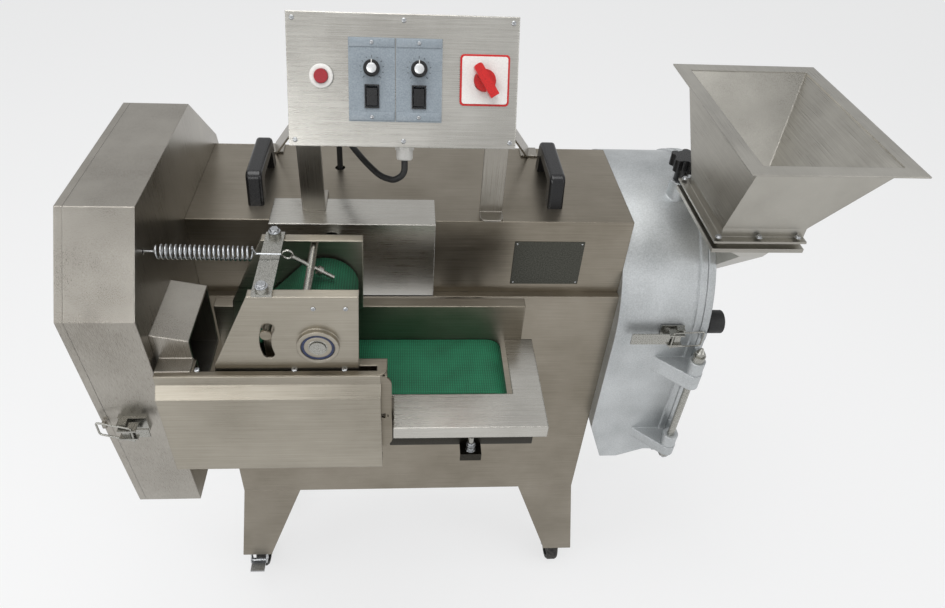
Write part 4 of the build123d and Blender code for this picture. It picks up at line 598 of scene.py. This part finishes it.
# Studio: a pale paper floor in a pale room that bright steel mirrors, a large
# soft lamp overhead and three around, and the camera above, looking down.
FLOOR_GLOW, ROOM_IN_STEEL = 0.72, 0.66
paper, tree, surface, place = finish_named("pale backdrop paper",
                                           {"Base Color": linear("#f4f4f4"), "Roughness": 0.9})
fibre = add(tree, "TexNoise", {"Vector": place, "Scale": 60.0, "Detail": 3.0})
bump = add(tree, "Bump", {"Height": fibre.outputs[0], "Strength": 0.03, "Distance": 0.0005})
tree.links.new(bump.outputs[0], surface.inputs["Normal"])
rays = add(tree, "LightPath")
glow = add(tree, "Emission", {"Color": linear("#fbfbfb"), "Strength": 1.0})
seen = add(tree, "Math", {0: rays.outputs["Is Camera Ray"], 1: rays.outputs["Is Glossy Ray"]},
           operation="MAXIMUM")
share = add(tree, "Math", {0: seen.outputs[0], 1: FLOOR_GLOW}, operation="MULTIPLY")
blend = add(tree, "MixShader", {0: share.outputs[0], 1: surface.outputs[0], 2: glow.outputs[0]})
tree.links.new(blend.outputs[0], tree.nodes["Material Output"].inputs[0])
bpy.ops.mesh.primitive_plane_add(size=90, location=(0, 0, -0.0005))
floor = bpy.context.object
floor.name = "floor"
floor.data.materials.append(paper)

world = bpy.data.worlds.new("studio")
bpy.context.scene.world = world
world.use_nodes = True
tree = world.node_tree
tree.nodes.clear()
rays = add(tree, "LightPath")
seen = add(tree, "Math", {0: rays.outputs["Is Camera Ray"], 1: rays.outputs["Is Transmission Ray"]},
           operation="MAXIMUM")
mirrored = add(tree, "Math", {0: rays.outputs["Is Glossy Ray"], 1: ROOM_IN_STEEL}, operation="MULTIPLY")
seen = add(tree, "Math", {0: seen.outputs[0], 1: mirrored.outputs[0]}, operation="MAXIMUM")
room = add(tree, "Background", {"Color": linear("#c9ccd0"), "Strength": 0.55})
paper_white = add(tree, "Background", {"Color": linear("#f6f6f6"), "Strength": 1.0})
mix = add(tree, "MixShader", {0: seen.outputs[0], 1: room.outputs[0], 2: paper_white.outputs[0]})
output = add(tree, "OutputWorld")
tree.links.new(mix.outputs[0], output.inputs[0])


def lamp(name, place, aim, width, height, power):
    """A soft box at a place in metres, turned to its aim, of this many watts."""
    light = bpy.data.lights.new(name, "AREA")
    light.shape = "RECTANGLE"
    light.size = width
    light.size_y = height
    light.energy = power
    holder = bpy.data.objects.new(name, light)
    bpy.context.scene.collection.objects.link(holder)
    holder.location = place
    holder.rotation_euler = (Vector(place) - Vector(aim)).to_track_quat("Z", "Y").to_euler()


lamp("overhead", (-0.4, -0.3, 3.6), (0, 0, 0.8), 2.6, 2.0, 62)
lamp("left", (-3.2, -1.6, 2.0), (0, 0, 0.8), 1.6, 2.2, 26)
lamp("right", (3.0, -2.0, 2.2), (0, 0, 0.9), 1.4, 2.0, 22)
lamp("front", (-1.5, -3.5, 1.9), (-0.2, 0, 1.0), 1.3, 1.5, 26)

EYE = at(313.9, -874.8, 1580.9)
yaw, pitch, roll = radians(5.12), radians(39.53), radians(3.45)
ahead = Vector((sin(yaw) * cos(pitch), cos(yaw) * cos(pitch), -sin(pitch)))
level = Vector((cos(yaw), -sin(yaw), 0))
upward = level.cross(ahead)
right = level * cos(roll) + upward * sin(roll)
top = upward * cos(roll) - level * sin(roll)
camera = bpy.data.cameras.new("camera")
camera.lens = 27.4
camera.sensor_width = 36
camera.shift_x = 0.021
camera.shift_y = -0.019
camera.clip_start = 0.05
viewer = bpy.data.objects.new("camera", camera)
bpy.context.scene.collection.objects.link(viewer)
viewer.matrix_world = Matrix.Translation(EYE) @ Matrix((right, top, -ahead)).transposed().to_4x4()
bpy.context.scene.camera = viewer
bpy.context.scene.view_settings.view_transform = "Standard"
